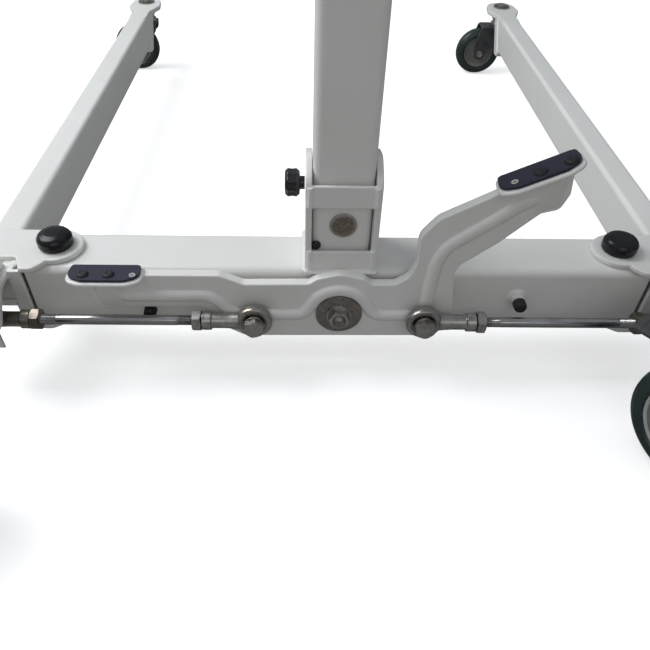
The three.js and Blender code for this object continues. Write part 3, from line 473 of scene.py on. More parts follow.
def hexagon(flats, start, end, axis, centre=(0, 0, 0), bore=0.0, top=True, bottom=False, rot=0.0):
    """Hexagon head or nut; top and bottom say which ends have the arcs a chamfer leaves."""
    sides = 72
    rim = flats / 2 * 0.96

    def profile(angle):
        off_flat = (angle - rot + math.pi / 6) % (math.pi / 3) - math.pi / 6
        radius = flats / 2 / math.cos(off_flat)
        drop = (radius - rim) * math.tan(30 * DEG)
        flank = [(rim, start), (radius, start + drop * bottom), (radius, end - drop * top),
                 (rim, end)]
        if bore > 0:
            return [(bore, start + 0.6), (bore + 0.6, start), *flank,
                    (bore + 0.6, end), (bore, end - 0.6)]
        return [(0.01, start), *flank,
                (rim * 0.82, end), (rim * 0.78, end - 0.25), (0.01, end - 0.25)]

    angles = [2 * math.pi * i / sides for i in range(sides)]
    rings = list(zip(*map(profile, angles)))
    vertices = [turned_point(axis, radius, angle, t, centre)
                for ring in rings for angle, (radius, t) in zip(angles, ring)]
    faces = bands(len(rings), sides, closed=bore > 0)
    if bore <= 0:
        faces += caps(len(rings), sides)
    return vertices, faces


def head(flats, start, end, axis, centre, **options):
    """Hexagon with its chamfer at the start."""
    return hexagon(flats, start, end, axis, centre, top=False, bottom=True, **options)


def sweep(path, radius, sides=20, ref=None, taper=0.0):
    """Bar along a path. radius may be a pair, with the first taken along ref; taper is the
    length over which each end closes."""
    path = [np.array(p, float) for p in path]
    last = len(path) - 1
    wide, high = radius if isinstance(radius, tuple) else (radius, radius)
    tangents = [path[min(i + 1, last)] - path[max(i - 1, 0)] for i in range(last + 1)]
    tangents = [t / np.linalg.norm(t) for t in tangents]
    lengths = [0.0]
    for a, b in zip(path, path[1:]):
        lengths.append(lengths[-1] + np.linalg.norm(b - a))
    across = np.cross(tangents[0], [0, 0, 1.0])
    if np.linalg.norm(across) < 1e-3:
        across = np.array([1.0, 0, 0])
    vertices = []
    for point, tangent, length in zip(path, tangents, lengths):
        if ref is not None:
            across = np.array(ref, float)
        across = across - tangent * (across @ tangent)
        across /= np.linalg.norm(across)
        up = np.cross(tangent, across)
        scale = 1.0
        to_end = min(length, lengths[-1] - length)
        if to_end < taper:
            scale = max(0.02, math.sqrt(max(0.0, 1 - (1 - to_end / taper) ** 2)))
        for k in range(sides):
            angle = 2 * math.pi * k / sides
            vertices.append(tuple(point + across * wide * scale * math.cos(angle)
                                  + up * high * scale * math.sin(angle)))
    return vertices, bands(last + 1, sides) + caps(last + 1, sides)


def weld(path, radius, seed):
    """Weld bead: a lumpy bar whose ripples follow the run."""
    station, ripple, sides = 0.8, 1.6, 12
    corners = [np.array(p, float) for p in path]
    line = [corners[0]]
    for a, b in zip(corners, corners[1:]):
        count = max(1, int(np.linalg.norm(b - a) / station))
        line += [a + (b - a) * i / count for i in range(1, count + 1)]
    vertices, faces = sweep(line, radius, sides)
    vertices = np.array(vertices).reshape(len(line), sides, 3)
    random = np.random.RandomState(seed)
    phase = random.rand() * 6
    for i, middle in enumerate(line):
        scale = (1 + 0.13 * math.sin(i * station / ripple * 2 * math.pi + phase)
                 + 0.08 * (random.rand() - 0.5))
        vertices[i] = middle + (vertices[i] - middle) * scale
    return [tuple(v) for v in vertices.reshape(-1, 3)], faces


def hull(points):
    """Convex hull of the points."""
    bm = bmesh.new()
    for p in points:
        bm.verts.new(p)
    bmesh.ops.convex_hull(bm, input=bm.verts)
    loose = [v for v in bm.verts if not v.link_faces]
    bmesh.ops.delete(bm, geom=loose, context="VERTS")
    bm.verts.index_update()
    vertices = [tuple(v.co) for v in bm.verts]
    faces = [tuple(v.index for v in f.verts) for f in bm.faces]
    bm.free()
    return vertices, faces


def fluted(shape, cy, cz, start, end, ripple):
    """Scale a piece turned about x by 1 + ripple(angle) where x is between start and end."""
    vertices = []
    for x, y, z in shape[0]:
        scale = 1 + (ripple(math.atan2(z - cz, y - cy)) if start < x < end else 0)
        vertices.append((x, cy + (y - cy) * scale, cz + (z - cz) * scale))
    return vertices, shape[1]


def moved(shape, matrix):
    return [tuple(matrix @ Vector(v)) for v in shape[0]], shape[1]


def shift(x, y, z):
    return Matrix.Translation((x, y, z))


def turn(degrees, axis):
    return Matrix.Rotation(degrees * DEG, 4, axis)


# ------------------------------------------------------------------ mesh objects
def mesh_from(name, shapes):
    """One mesh in metres from shapes in millimetres."""
    vertices, faces = [], []
    for points, polygons in shapes:
        first = len(vertices)
        vertices += [((x + SHIFT_X) * MM, (y + SHIFT_Y) * MM, z * MM) for x, y, z in points]
        faces += [tuple(i + first for i in polygon) for polygon in polygons]
    mesh = bpy.data.meshes.new(name)
    mesh.from_pydata(vertices, [], faces)
    bm = bmesh.new()
    bm.from_mesh(mesh)
    bmesh.ops.remove_doubles(bm, verts=bm.verts, dist=1e-7)
    bmesh.ops.recalc_face_normals(bm, faces=bm.faces)
    bm.to_mesh(mesh)
    bm.free()
    return mesh


def link(name, data):
    ob = bpy.data.objects.new(name, data)
    SCENE.collection.objects.link(ob)
    return ob


def discard(ob):
    mesh = ob.data
    bpy.data.objects.remove(ob)
    bpy.data.meshes.remove(mesh)


def bake(ob):
    """Apply the object's modifiers."""
    bpy.context.view_layer.update()
    depsgraph = bpy.context.evaluated_depsgraph_get()
    mesh = bpy.data.meshes.new_from_object(ob.evaluated_get(depsgraph))
    ob.modifiers.clear()
    old = ob.data
    ob.data = mesh
    bpy.data.meshes.remove(old)


def boolean(ob, shapes, operation):
    tools = []
    for i, shape in enumerate(shapes):
        tool = link("tmp_%d" % i, mesh_from("tmp", [shape]))
        modifier = ob.modifiers.new("b", "BOOLEAN")
        modifier.operation = operation
        modifier.object = tool
        modifier.solver = "EXACT"
        tools.append(tool)
    bake(ob)
    for tool in tools:
        discard(tool)


def drilled(shape, cutter):
    """The shape with the cutter taken away, as a shape again."""
    ob = link("tmp_d", mesh_from("tmp_d", [shape]))
    boolean(ob, [cutter], "DIFFERENCE")
    vertices = [(v.co.x / MM - SHIFT_X, v.co.y / MM - SHIFT_Y, v.co.z / MM)
                for v in ob.data.vertices]
    faces = [tuple(polygon.vertices) for polygon in ob.data.polygons]
    discard(ob)
    return vertices, faces


def piece(name, finish, body, shapes, replaces=None, at=None, cut=(), union=False,
          voxel=0, smooth=0, angle=32):
    """One visible piece that rides on a body.

    replaces: the CAD piece it stands for; at: matrix applied to shapes and cut; cut: shapes
    taken away; voxel: cell size of a fused skin, softened by smooth passes; angle: sharp edges
    of a piece that isn't fused.
    """
    if at is not None:
        shapes = [moved(shape, at) for shape in shapes]
        cut = [moved(shape, at) for shape in cut]
    if union:
        ob = link(name, mesh_from(name, shapes[:1]))
        boolean(ob, shapes[1:], "UNION")
    else:
        ob = link(name, mesh_from(name, shapes))
    if cut:
        boolean(ob, cut, "DIFFERENCE")
    if voxel:
        remesh = ob.modifiers.new("r", "REMESH")
        remesh.mode = "VOXEL"
        remesh.voxel_size = voxel * MM
        soften = ob.modifiers.new("s", "SMOOTH")
        soften.factor = 0.5
        soften.iterations = smooth
        bake(ob)
    mesh = ob.data
    mesh.polygons.foreach_set("use_smooth", [True] * len(mesh.polygons))
    if not voxel:
        mesh.set_sharp_from_angle(angle=angle * DEG)
        normals = ob.modifiers.new("wn", "WEIGHTED_NORMAL")
        normals.keep_sharp = True
        normals.weight = 60
    mesh.materials.clear()
    mesh.materials.append(finish.material)
    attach(ob, body)
    if replaces:
        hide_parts(replaces)


# ================================================================== base: cross-member
piece("cross_member_tube", PAINT, "base", [box_tube(CROSS_BOX, (8, 5), "x", -300, 300, 0.5)],
      "cross_member")
ROCKER_PIVOT = (0, 0, ROCKER_Z)
piece("rocker_boss", PAINT, "base", [lathe(
    [(0, -33.9), (16.5, -33.9, 0.8), (17, -31.5, 1.0), (20, -29.6, 1.5), (20, -28.5), (0, -28.5)],
    "y", ROCKER_PIVOT)])
for side, x, z, r in (("right", 176, 91, 7.0), ("left", -184, 79.6, 5.2)):
    piece("stop_peg_" + side, PAINT, "base", [lathe(
        [(0, -38.1), (r * 0.80, -38.1, 1.0), (r * 0.95, -36, 1.5), (r, -32.5, 2),
         (r + 3.0, -29.6, 1.5), (r + 3.0, -28.5), (0, -28.5)], "y", (x, 0, z))])
    piece("stop_rubber_bumper_" + side, BLACK_RUBBER, "base", [lathe(
        [(0, -48.8), (4.6, -48.8, 2.2), (6.1, -46.2, 1.8), (6.3, -39.0, 0.6), (0, -38.4)],
        "y", (x, 0, z))], "stop_rubber_" + side)

# mast bracket: two side plates, upper and lower bands at the rear, front plate and welds
SEAT = 122.3                        # underside of what stands on the cross-member
WELD_Z = 123.4
side_plate = rounded([(-33, SEAT), (31.5, SEAT), (31.5, 208, 10), (18, 224, 14), (-8, 231, 16),
                      (-33, 218, 12)])
shapes = [prism(side_plate, "x", 27.4, 33.4, 1.0), prism(side_plate, "x", -33.4, -27.4, 1.0),
          prism(rect(-31, 31, SEAT, 146, 0.6), "y", -33, -29.4, 1.2),
          prism(rect(-31, 31, 192, 214, 0.6), "y", -33, -29.4, 1.2),
          prism(rect(-31, 31, SEAT, 205, 0.6), "y", 28.5, 31.5, 0.8)]
for side, s in SIDES:
    for top, bottom, seed in ((147, 123, 3), (213, 193, 7)):
        shapes.append(weld([(s * 29.0, -32.4, top), (s * 29.4, -32.6, bottom)], 2.6, seed + s))
    shapes.append(weld([(s * 34.0, -34, WELD_Z), (s * 34.2, 31, WELD_Z)], 2.3, 11 + s))
shapes.append(weld([(-34, -33.8, WELD_Z), (0, -34.2, 123.2), (34, -33.8, WELD_Z)], 2.3, 21))
shapes.append(weld([(-34, 32.0, WELD_Z), (34, 32.0, WELD_Z)], 2.3, 22))
piece("mast_bracket_welded", PAINT, "base", shapes, "mast_bracket", voxel=0.65, smooth=2)

BOLT_Z = 171                        # bolt through the mast
piece("mast_bolt_head", ZINC, "base", [lathe(
    [(0, -26.2), (12.3, -26.2, 0.3), (12.3, -27.7, 0.5), (10.6, -27.9, 0.3), (0, -27.9)],
    "y", (1, 0, BOLT_Z))], "mast_bolt")
piece("mast_bolt_dome", BRONZE, "base", [lathe(
    [(0, -27.5), (10.2, -27.5, 0.2), (9.6, -28.5, 0.5), (6.0, -29.0, 2), (0, -29.2)],
    "y", (1, 0, BOLT_Z))])
piece("mast_bolt_nut", ZINC, "base", [lathe(
    [(0, 31.6), (10.5, 31.6, 0.3), (10.5, 33.2, 0.3), (0, 33.2)], "y", (0, 0, BOLT_Z))])
piece("mast_bolt_nut_hex", ZINC, "base", [
    hexagon(17, 33.2, 39.2, "y", (0, 0, BOLT_Z), bore=4.6),
    cylinder("y", (0, 0, BOLT_Z), 4.9, 30, 41.5)])
# black disc: a dark piece standing in for the shade inside the bracket's notch
piece("bracket_notch_shade_disc", BLACK, "base", [lathe(
    [(0, -28.6), (4.4, -28.6, 1.4), (4.4, -26.5), (0, -26.5)], "y", (-23.2, 0, 149.6))])
KNOB_Y, KNOB_Z = 1, 198
knob = lathe([(0, -51.7), (10.6, -51.7, 1.6), (12.8, -49.2, 1.6), (12.3, -45.2, 2.5),
              (12.8, -41.4, 1.5), (10.3, -38.5, 1.2), (6, -38.3, 0.6), (6, -33.9, 0.4),
              (0, -33.9)], "x", (0, KNOB_Y, KNOB_Z), 60)
knob = fluted(knob, KNOB_Y, KNOB_Z, -52, -39, lambda a: 0.03 * math.cos(10 * a) - 0.02)
piece("mast_lock_knob_moulded", BLACK, "base", [knob], "mast_lock_knob")

# ================================================================== mast
piece("mast_tube", PAINT, "base", [box_tube(MAST_BOX, (7, 4), "z", 122.8, MAST_TOP, 0.4)], "mast")
BOOM_PIVOT = (0, PIVOT_Y, PIVOT_Z)
head_plate = rounded([(-24, 1010, 6), (26, 1010, 6), (30, 1120, 12), (18, 1146, 14),
                      (-16, 1146, 14), (-28, 1120, 12)])
for side, s in SIDES:
    piece("mast_head_plate_" + side, PAINT, "base",
          [prism(head_plate, "x", s * 27.05, s * 32, 1.0)],
          cut=[cylinder("x", BOOM_PIVOT, 8.3, -60, 60)], angle=40)
    piece("mast_head_weld_" + side, PAINT, "base", [weld(
        [(s * 27.6, -25, 1011), (s * 31.0, -10, 1009.6), (s * 31.0, 12, 1009.6),
         (s * 27.6, 27, 1011)], 1.8, 31 + s)])
piece("mast_top_plug", BLACK, "base", [
    prism(rect(-26.8, 26.8, -25.8, 27.8, 6.5), "z", 1084.9, 1085.9, 0.4),
    prism(rect(-23.6, 23.6, -22.6, 24.6, 4), "z", 1072, MAST_TOP, 0.4)])
lug = rounded([(27.5, PUMP_Z - 45), (74, PUMP_Z - 16, 14), (86, PUMP_Z, 14),
               (74, PUMP_Z + 14, 14), (27.5, PUMP_Z + 34)])
for side, s in SIDES:
    piece("pump_lug_" + side, PAINT, "base", [prism(lug, "x", s * 12, s * 17, 0.8)],
          cut=[cylinder("x", (0, PUMP_Y, PUMP_Z), 6.3, -60, 60)], angle=40)
piece("pump_lug_backplate", PAINT, "base",
      [prism(rect(-27, 27, PUMP_Z - 60, PUMP_Z + 48, 5), "y", 28.1, 32, 1.0)])


def pin(name, body, replaces, centre, radius, start, end, head_radius, nut_flats):
    """Bolt along x with a round head at the left and a nut at the right."""
    shank = lathe([(0, start), (head_radius, start, 0.9), (head_radius, start + 4.0, 0.5),
                   (radius, start + 4.0), (radius, end - 7.0), (0, end - 7.0)], "x", centre)
    piece(name, ZINC, body, [shank], replaces)
    piece(name + "_nut", ZINC, body, [
        hexagon(nut_flats, end - 7, end - 1.5, "x", centre, bore=radius * 0.93, rot=0.2),
        cylinder("x", centre, radius * 0.97, end - 9, end, 32, 0.8)])


PUMP_PIN = dict(radius=6, start=-21.3, end=22, head_radius=9, nut_flats=16)
pin("boom_pivot_bolt", "base", "boom_pivot_pin", BOOM_PIVOT, radius=8, start=-37.3, end=38,
    head_radius=12, nut_flats=21)
pin("pump_base_bolt", "base", "pump_base_pin", (0, PUMP_Y, PUMP_Z), **PUMP_PIN)

# push handle: x, y, z from the mast round to the middle of the bar
HANDLE_Y, HANDLE_Z = -192, 994
handle = [(-18, -41, 958), (-70, -43, 960), (-140, -58, 966), (-196, -92, 976),
          (-214, -140, 985), (-200, -176, 991), (-170, -190, 994), (-148, HANDLE_Y, HANDLE_Z),
          (-134, HANDLE_Y, HANDLE_Z), (0, HANDLE_Y, HANDLE_Z)]
piece("push_handle_tube", PAINT, "base", [sweep(smooth_path(both_halves(handle)), 12, 32)],
      "push_handle")
piece("push_handle_plate", PAINT, "base", [prism(rect(-31, 31, 928, 990, 8), "y", -42, -26.2, 1.6)])
for x, letter in ((-21, "l"), (21, "r")):
    for z in (938, 980):
        piece("handle_bolt_%s_%d" % (letter, z), ZINC, "base", [
            head(10, -46.5, -42, "y", (x, 0, z)),
            lathe([(0, -42.6), (8, -42.6, 0.3), (8, -41.8), (0, -41.8)], "y", (x, 0, z))])
GRIP_BORE, GRIP_R = 12.3, 16
for side, s in SIDES:
    profile = [(GRIP_BORE, 33.0), (15, 33.0, 1.5), (GRIP_R, 35.5, 1.0)]
    x = 38.0
    while x < 122:
        profile += [(GRIP_R, x), (14.9, x + 0.9, 0.5), (14.9, x + 1.9, 0.5),
                    (GRIP_R, x + 2.8, 0.4)]
        x += 6.2
    profile += [(GRIP_R, 125.5, 1), (15, 127.6, 1.5), (GRIP_BORE, 127.6)]
    if s < 0:
        profile = flipped(profile)
    piece("handle_grip_ribbed_" + side, GRIP, "base",
          [lathe(profile, "x", (0, HANDLE_Y, HANDLE_Z), 48, closed=True)], "handle_grip_" + side)

# ================================================================== rocker
# lever outline: x, z, corner radius
LEVER = [
    (-243, 127, 0), (-240, 113, 6), (-229, 84, 7), (-216, 86.9, 3), (-134, 87.6, 10),
    (-110, 60, 12), (-93, 49.6, 14), (88, 51, 16), (112, 76, 16), (105, 132, 12), (109, 141, 8),
    (139, 166.5, 12), (168, 197, 6), (183, 201, 8), (188, 216, 6), (184, 248, 0), (128, 222, 0),
    (130, 217, 6), (82, 190, 20), (68, 171, 16), (69, 143, 16), (64, 126, 14), (51, 117, 8),
    (30, 117, 8), (22, 123, 6), (0, 129, 20), (-22, 123, 6), (-30, 117, 8), (-91, 116, 12),
    (-113, 126.3, 12), (-183, 126.3, 0), (-183, 127, 0)]
# raised beads along the rear face of the lever: x, z
LEFT_BEAD = [(-212, 101.6), (-190, 101.6), (-150, 102), (-128, 102), (-116.5, 96), (-108.5, 86),
             (-98, 80), (-86, 79)]
MIDDLE_BEAD = [(-86, 78.7), (-62, 78.7), (-44, 78.7), (-36.5, 80.2), (-31.5, 84.5)]
BEAD_ARC_R = 29.0
RIGHT_BEAD = [(83, 84), (83.5, 97), (84.6, 123), (87, 145.5), (94, 161), (111, 175.7),
              (130.3, 190.8), (144, 202.5), (153, 208.5), (166, 213)]
# corner points of the gussets under the two pads: x, y, z
LEFT_GUSSET = [(-243, -36, 125.5), (-232, -36, 85), (-204, -36, 87), (-190, -36, 125.5),
               (-206, -44.8, 88), (-190, -44.8, 125.4), (-214, -53, 125.2), (-226, -53, 125.2),
               (-228, -46, 92)]
RIGHT_GUSSET = [(186, -36, 243), (187, -36, 216), (182.5, -36, 200), (158, -36, 192),
                (150, -36, 228), (160, -44.8, 196), (152, -44.8, 228), (168, -53, 237.5),
                (179, -52, 242), (180, -46, 206)]
PAD_LEFT = shift(0, 0, 127.6)
PAD_RIGHT = shift(156, 0, 236.2) @ turn(-25, "Y")
LEVER_FRONT = -35.2


def pad_outline(x0, x1, y0, y1):
    """Straight front edge at y1, rounded corners at the rear edge y0."""
    return rounded([(x0 + 2, y1, 3), (x0, y0 + 6, 12), (x0 + 14, y0, 14), (x1 - 14, y0, 14),
                    (x1, y0 + 6, 12), (x1 - 2, y1, 3)])


arc = [(BEAD_ARC_R * math.cos(a * DEG), ROCKER_Z + BEAD_ARC_R * math.sin(a * DEG))
       for a in (158, 140, 120, 100, 80, 60, 40, 22)]
middle_bead = MIDDLE_BEAD + arc + [(-x, z) for x, z in MIDDLE_BEAD[::-1]]
shapes = [
    drilled(prism(rounded(LEVER), "y", -45, LEVER_FRONT, 1.1),
            cylinder("y", ROCKER_PIVOT, 10.5, -60, -20)),
    prism(pad_outline(-253, -181, -62.5, LEVER_FRONT), "z", 124.9, 129.2, 1.8, 4),
    moved(prism(pad_outline(-36, 36, -62.5, LEVER_FRONT), "z", -2.6, 1.6, 1.8, 4), PAD_RIGHT)]
for points, steps, taper in ((LEFT_BEAD, 8, 16.0), (middle_bead, 6, 0.0), (RIGHT_BEAD, 8, 16.0)):
    path = [(x, -44.6, z) for x, z in smooth_path(points, steps)]
    shapes.append(sweep(path, (4.4, 6.5), 24, ref=(0, 1, 0), taper=taper))
shapes += [hull(LEFT_GUSSET), hull(RIGHT_GUSSET)]
piece("pedal_lever_casting", PAINT, "rocker", shapes, "pedal_lever", voxel=0.62, smooth=1)


def serrated(outline, count=30, depth=0.9, margin=5):
    """The outline with saw teeth along its front edge."""
    low = min(p[0] for p in outline) + margin
    high = max(p[0] for p in outline) - margin
    front = max(p[1] for p in outline)
    teeth = []
    for i in range(count):
        teeth += [(high - (high - low) * i / count, front),
                  (high - (high - low) * (i + 0.5) / count, front + depth)]
    rest = counterclockwise([p for p in outline
                             if not (low < p[0] < high and abs(p[1] - front) < 0.2)])
    # start from the last point before the straight front edge
    middle = (low + high) / 2
    crossings = [i for i in range(len(rest))
                 if rest[i][0] > middle >= rest[(i + 1) % len(rest)][0]]
    first = max(crossings, key=lambda i: rest[i][1])
    rest = rest[first:] + rest[:first]
    return rest[:1] + teeth + rest[1:]


def pad(name, replaces, at, outline, edge, rivets, hole_x):
    """Rubber pad with two rivets and one open hole."""
    row_y = -51.5
    piece(name, NAVY, "rocker", [prism(outline, "z", 1.9, 4.6, edge)], replaces, at,
          cut=[cylinder("z", (hole_x, row_y, 0), 2.6, -10, 12, 32, 0)], angle=40)
    for i, x in enumerate(rivets):
        piece("%s_rivet_%d" % (name, i + 1), BLACK_RUBBER, "rocker", [lathe(
            [(0, 3.6), (5.6, 3.6), (5.6, 4.9, 0.6), (4.6, 6.3, 1.2), (2.4, 7.0, 0.8),
             (1.6, 6.6, 0.3), (0, 6.5)], "z", (x, row_y, 0), 40)], at=at)
    piece(name + "_open_hole", PALE_HOLE, "rocker", [lathe(
        [(1.9, 1.7), (2.9, 1.7), (2.9, 4.75, 0.3), (1.9, 4.75, 0.3)],
        "z", (hole_x, row_y, 0), 32, closed=True)], at=at)


pad("pedal_pad_left_rubber", "pedal_pad_left", PAD_LEFT,
    pad_outline(-250.6, -183.4, -59.6, -36.4), 0.7, rivets=(-235.5, -212), hole_x=-190.5)
pad("pedal_pad_right_rubber", "pedal_pad_right", PAD_RIGHT,
    serrated(pad_outline(-33.6, 33.6, -59.6, -36.4)), 0.3, rivets=(0.5, 24.5), hole_x=-20.5)

# pivot washer, nut and bolt
piece("rocker_washer", ZINC_DARK, "base", [lathe(
    [(0, -45.3), (22.5, -45.3, 0.3), (22.5, -47.6, 0.7), (11.5, -47.9), (0, -47.9)],
    "y", ROCKER_PIVOT, 72)], "rocker_pivot_bolt")
piece("rocker_nut_flange", ZINC, "base", [lathe(
    [(0, -47.8), (12.2, -47.8, 0.4), (12.2, -49.0, 0.5), (0, -49.0)], "y", ROCKER_PIVOT)])
piece("rocker_nut", ZINC, "base",
      [head(18.5, -57.2, -48.9, "y", ROCKER_PIVOT, bore=5.6, rot=0.1)])
thread = [(0, -61.0), (4.2, -61.0), (5.5, -59.8)]
y = -59.4
while y < -49:
    thread += [(5.5, y), (5.0, y + 0.6)]
    y += 1.2
thread += [(5.5, -48), (0, -48)]
piece("rocker_bolt_end", ZINC_DARK, "base", [lathe(thread, "y", ROCKER_PIVOT, 40)])
piece("rocker_bolt_head", ZINC, "base", [hexagon(19, 30.4, 40, "y", ROCKER_PIVOT),
                                         cylinder("y", ROCKER_PIVOT, 6.0, -30, 31)])

# ================================================================== tie rods
ROD_NECK = [(0, 14.6), (8.4, 14.6), (7.9, 20, 3), (7.5, 27, 4), (7.5, 40, 1.0), (9.2, 41, 0.6),
            (9.2, 49.6, 0.7), (6.2, 50, 0.3), (0, 50)]


def rod_ring(bore, bottom, top, axis, centre, sides):
    return lathe([(bore, bottom, 0.5), (16.6, bottom, 1.6), (17.5, -2.2, 1.0), (17.5, 2.2, 1.0),
                  (16.6, top, 1.6), (bore, top, 0.5)], axis, centre, sides, closed=True)


def rod_profile():
    """Plain bar with a cut thread near each end."""
    pitch = 1.25
    profile = [(0, 27), (4.3, 27), (4.6, 50.5)]
    t = 50.5
    while t < 72:
        profile += [(5.0, t + 0.35), (5.0, t + 0.5), (4.55, t + 1.0)]
        t += pitch
    profile += [(5.0, t + 0.8, 0.2), (5.0, TIE_LENGTH - t - 0.8, 0.2)]
    t = TIE_LENGTH - t
    while t < TIE_LENGTH - 51:
        profile += [(4.55, t + 0.2), (5.0, t + 0.7), (5.0, t + 0.85)]
        t += pitch
    return profile + [(4.6, TIE_LENGTH - 50.5), (4.3, TIE_LENGTH - 27), (0, TIE_LENGTH - 27)]


def tie_rod(side, s):
    """Laid out along +x from its inner eye; the inner eye faces y, the outer one lies flat."""
    body = "tie_rod_assembly_" + side
    middle = (0, 0, 0)
    outer_end = (TIE_LENGTH, 0, 0)
    inner_at = shift(s * TIE_X, TIE_Y, ROCKER_Z)
    at = inner_at @ turn(0 if s > 0 else 180, "Z")
    piece("rod_eye_inner_" + side, ZINC, body,
          [rod_ring(12.2, -5.0, 4.6, "y", middle, 72), lathe(ROD_NECK, "x")],
          "rod_end_inner_" + side, at, [cylinder("y", middle, 12.3, -20, 20)], True, angle=38)
    piece("rod_race_inner_" + side, ZINC_DARK, body, [lathe(
        [(9.9, -4.4, 0.3), (12.3, -4.6, 0.3), (12.3, 4.2, 0.3), (9.9, 4.2, 0.3)],
        "y", middle, 60, closed=True)], at=at)
    piece("tie_rod_bar_" + side, NICKEL, body, [lathe(rod_profile(), "x", middle, 40)],
          "tie_rod_" + side, at)
    piece("tie_rod_jam_nut_inner_" + side, ZINC, body,
          [hexagon(19, 50.3, 59.0, "x", bore=4.9, bottom=True, rot=0.0 if s > 0 else 0.3)],
          "jam_nut_inner_" + side, at)
    piece("tie_rod_jam_nut_outer_" + side, ZINC_DARK, body,
          [hexagon(19, TIE_LENGTH - 59.0, TIE_LENGTH - 50.3, "x", bore=4.9, bottom=True,
                   rot=0.25)], "jam_nut_outer_" + side, at)
    piece("rod_eye_outer_" + side, ZINC_DARK, body,
          [rod_ring(7.0, -4.8, 4.8, "z", outer_end, 64), lathe(flipped(ROD_NECK, TIE_LENGTH), "x")],
          "rod_end_outer_" + side, at, [cylinder("z", outer_end, 7.0, -20, 20)], True, angle=38)
    # bolt through the inner eye, carried by the lever
    ball_r = 9.5
    ball = [(0, -7)] + [(math.sqrt(ball_r ** 2 - t * t), t) for t in np.linspace(-7, 7, 15)]
    piece("rod_bolt_ball_" + side, ZINC, "rocker", [lathe(ball + [(0, 7)], "y")],
          "rod_end_bolt_" + side, inner_at)
    piece("rod_bolt_spacer_" + side, ZINC, "rocker", [lathe(
        [(0, 5.6), (7.4, 5.6, 0.4), (8.6, 11.0, 0.3), (0, 11.3)], "y", middle, 40)], at=inner_at)
    piece("rod_bolt_washer_" + side, ZINC_DARK, "rocker", [lathe(
        [(0, -8.0), (10.4, -8.0, 0.4), (10.4, -6.9, 0.3), (0, -6.9)], "y")], at=inner_at)
    piece("rod_bolt_hex_" + side, ZINC, "rocker",
          [head(17.5, -14.6, -8.0, "y", middle, rot=0.35 * s)], at=inner_at)


for side, s in SIDES:
    tie_rod(side, s)

# ================================================================== legs
# Outlines are for the right leg: x, y, corner radius.
PIVOT_ARC = [(LEG_PIVOT_X + LEG_PIVOT_R * math.cos(a * DEG), LEG_PIVOT_R * math.sin(a * DEG))
             for a in range(262, 98, -8)]
UPPER_FORK = [(275, 25.5, 0), (299, 25.5, 4), (347, 25.5, 6), (347, -20, 3), (308, -20, 3),
              (300, -38.5, 4), (288, -38.5, 10), (281, -30, 6), (278, -25, 4),
              (275, -25.5, 0)] + PIVOT_ARC
LOWER_FORK = [(275, 25.5, 0), (322, 25.5, 3), (322, -34, 6), (290, -34, 10), (281, -28, 6),
              (278, -25.5, 4), (275, -25.5, 0)] + PIVOT_ARC
CASTER_PLATE = [(LEG_IN + 0.5, 690, 4), (LEG_IN + 0.5, 722, 10), (306.5, 756, 20),
                (312.5, 800.5, 22), (357.5, 800.5, 22), (363.5, 756, 20),
                (LEG_OUT - 0.5, 722, 10), (LEG_OUT - 0.5, 690, 4)]
ARM_PAD = [(312, -228, 14), (346, -228, 14), (348, -178, 8), (318, -150, 8)]
# webs between the fork plates: x, x, y, y, z, z
WEBS = [(308, 313, -34, 25.5, 50.7, 123.3), (301, 314, -36.5, -32, 50.7, 122.8),
        (309, 320, 16, 25.5, 52, 122.5), (309, 320, -26, -15, 52, 122.5),
        (319.5, 322, -26, 25.5, 50.7, 73), (306.5, 316, -28, -14, 118.2, 122.4)]
# side views: y, z, corner radius
END_STRIP = [(746, 117), (701, 60, 9), (679, 63, 7), (723, 117)]
HOOD_MOUTH = [(-28, 40), (-28, 98, 14), (-34, 117, 12), (-54, 117, 12), (-84, 80, 10), (-84, 40)]
CASTER_ARM = [(-26, 121.5), (-26, 128, 3), (-38, 133, 10), (-52, 164, 12), (-228, 164, 3),
              (-228, 152, 3), (-64, 152, 10), (-54, 126, 8), (-58, 121.5)]
PIVOT_CAP = [(0, 128.4), (16.2, 128.4, 0.4), (16.8, 130.5, 1.0), (16.7, 136.8, 2.6),
             (14.2, 140.8, 5), (8, 142.5, 6), (0, 142.8)]
LINK_PIN = [(0, 67), (8.5, 67, 0.8), (8.5, 73.6, 0.6), (4, 73.6), (4, 88.4), (9, 88.4, 0.6),
            (9, 117.6), (6, 117.6), (6, 122.4), (0, 122.4)]


def rake(point):
    """Slant the front end of the leg so that its underside stops short."""
    x, y, z = point
    if y > 400:
        height = min(max((z - LEG_LOW) / 46, 0), 1)
        return x, y - (1 - height) * 41, z
    return point


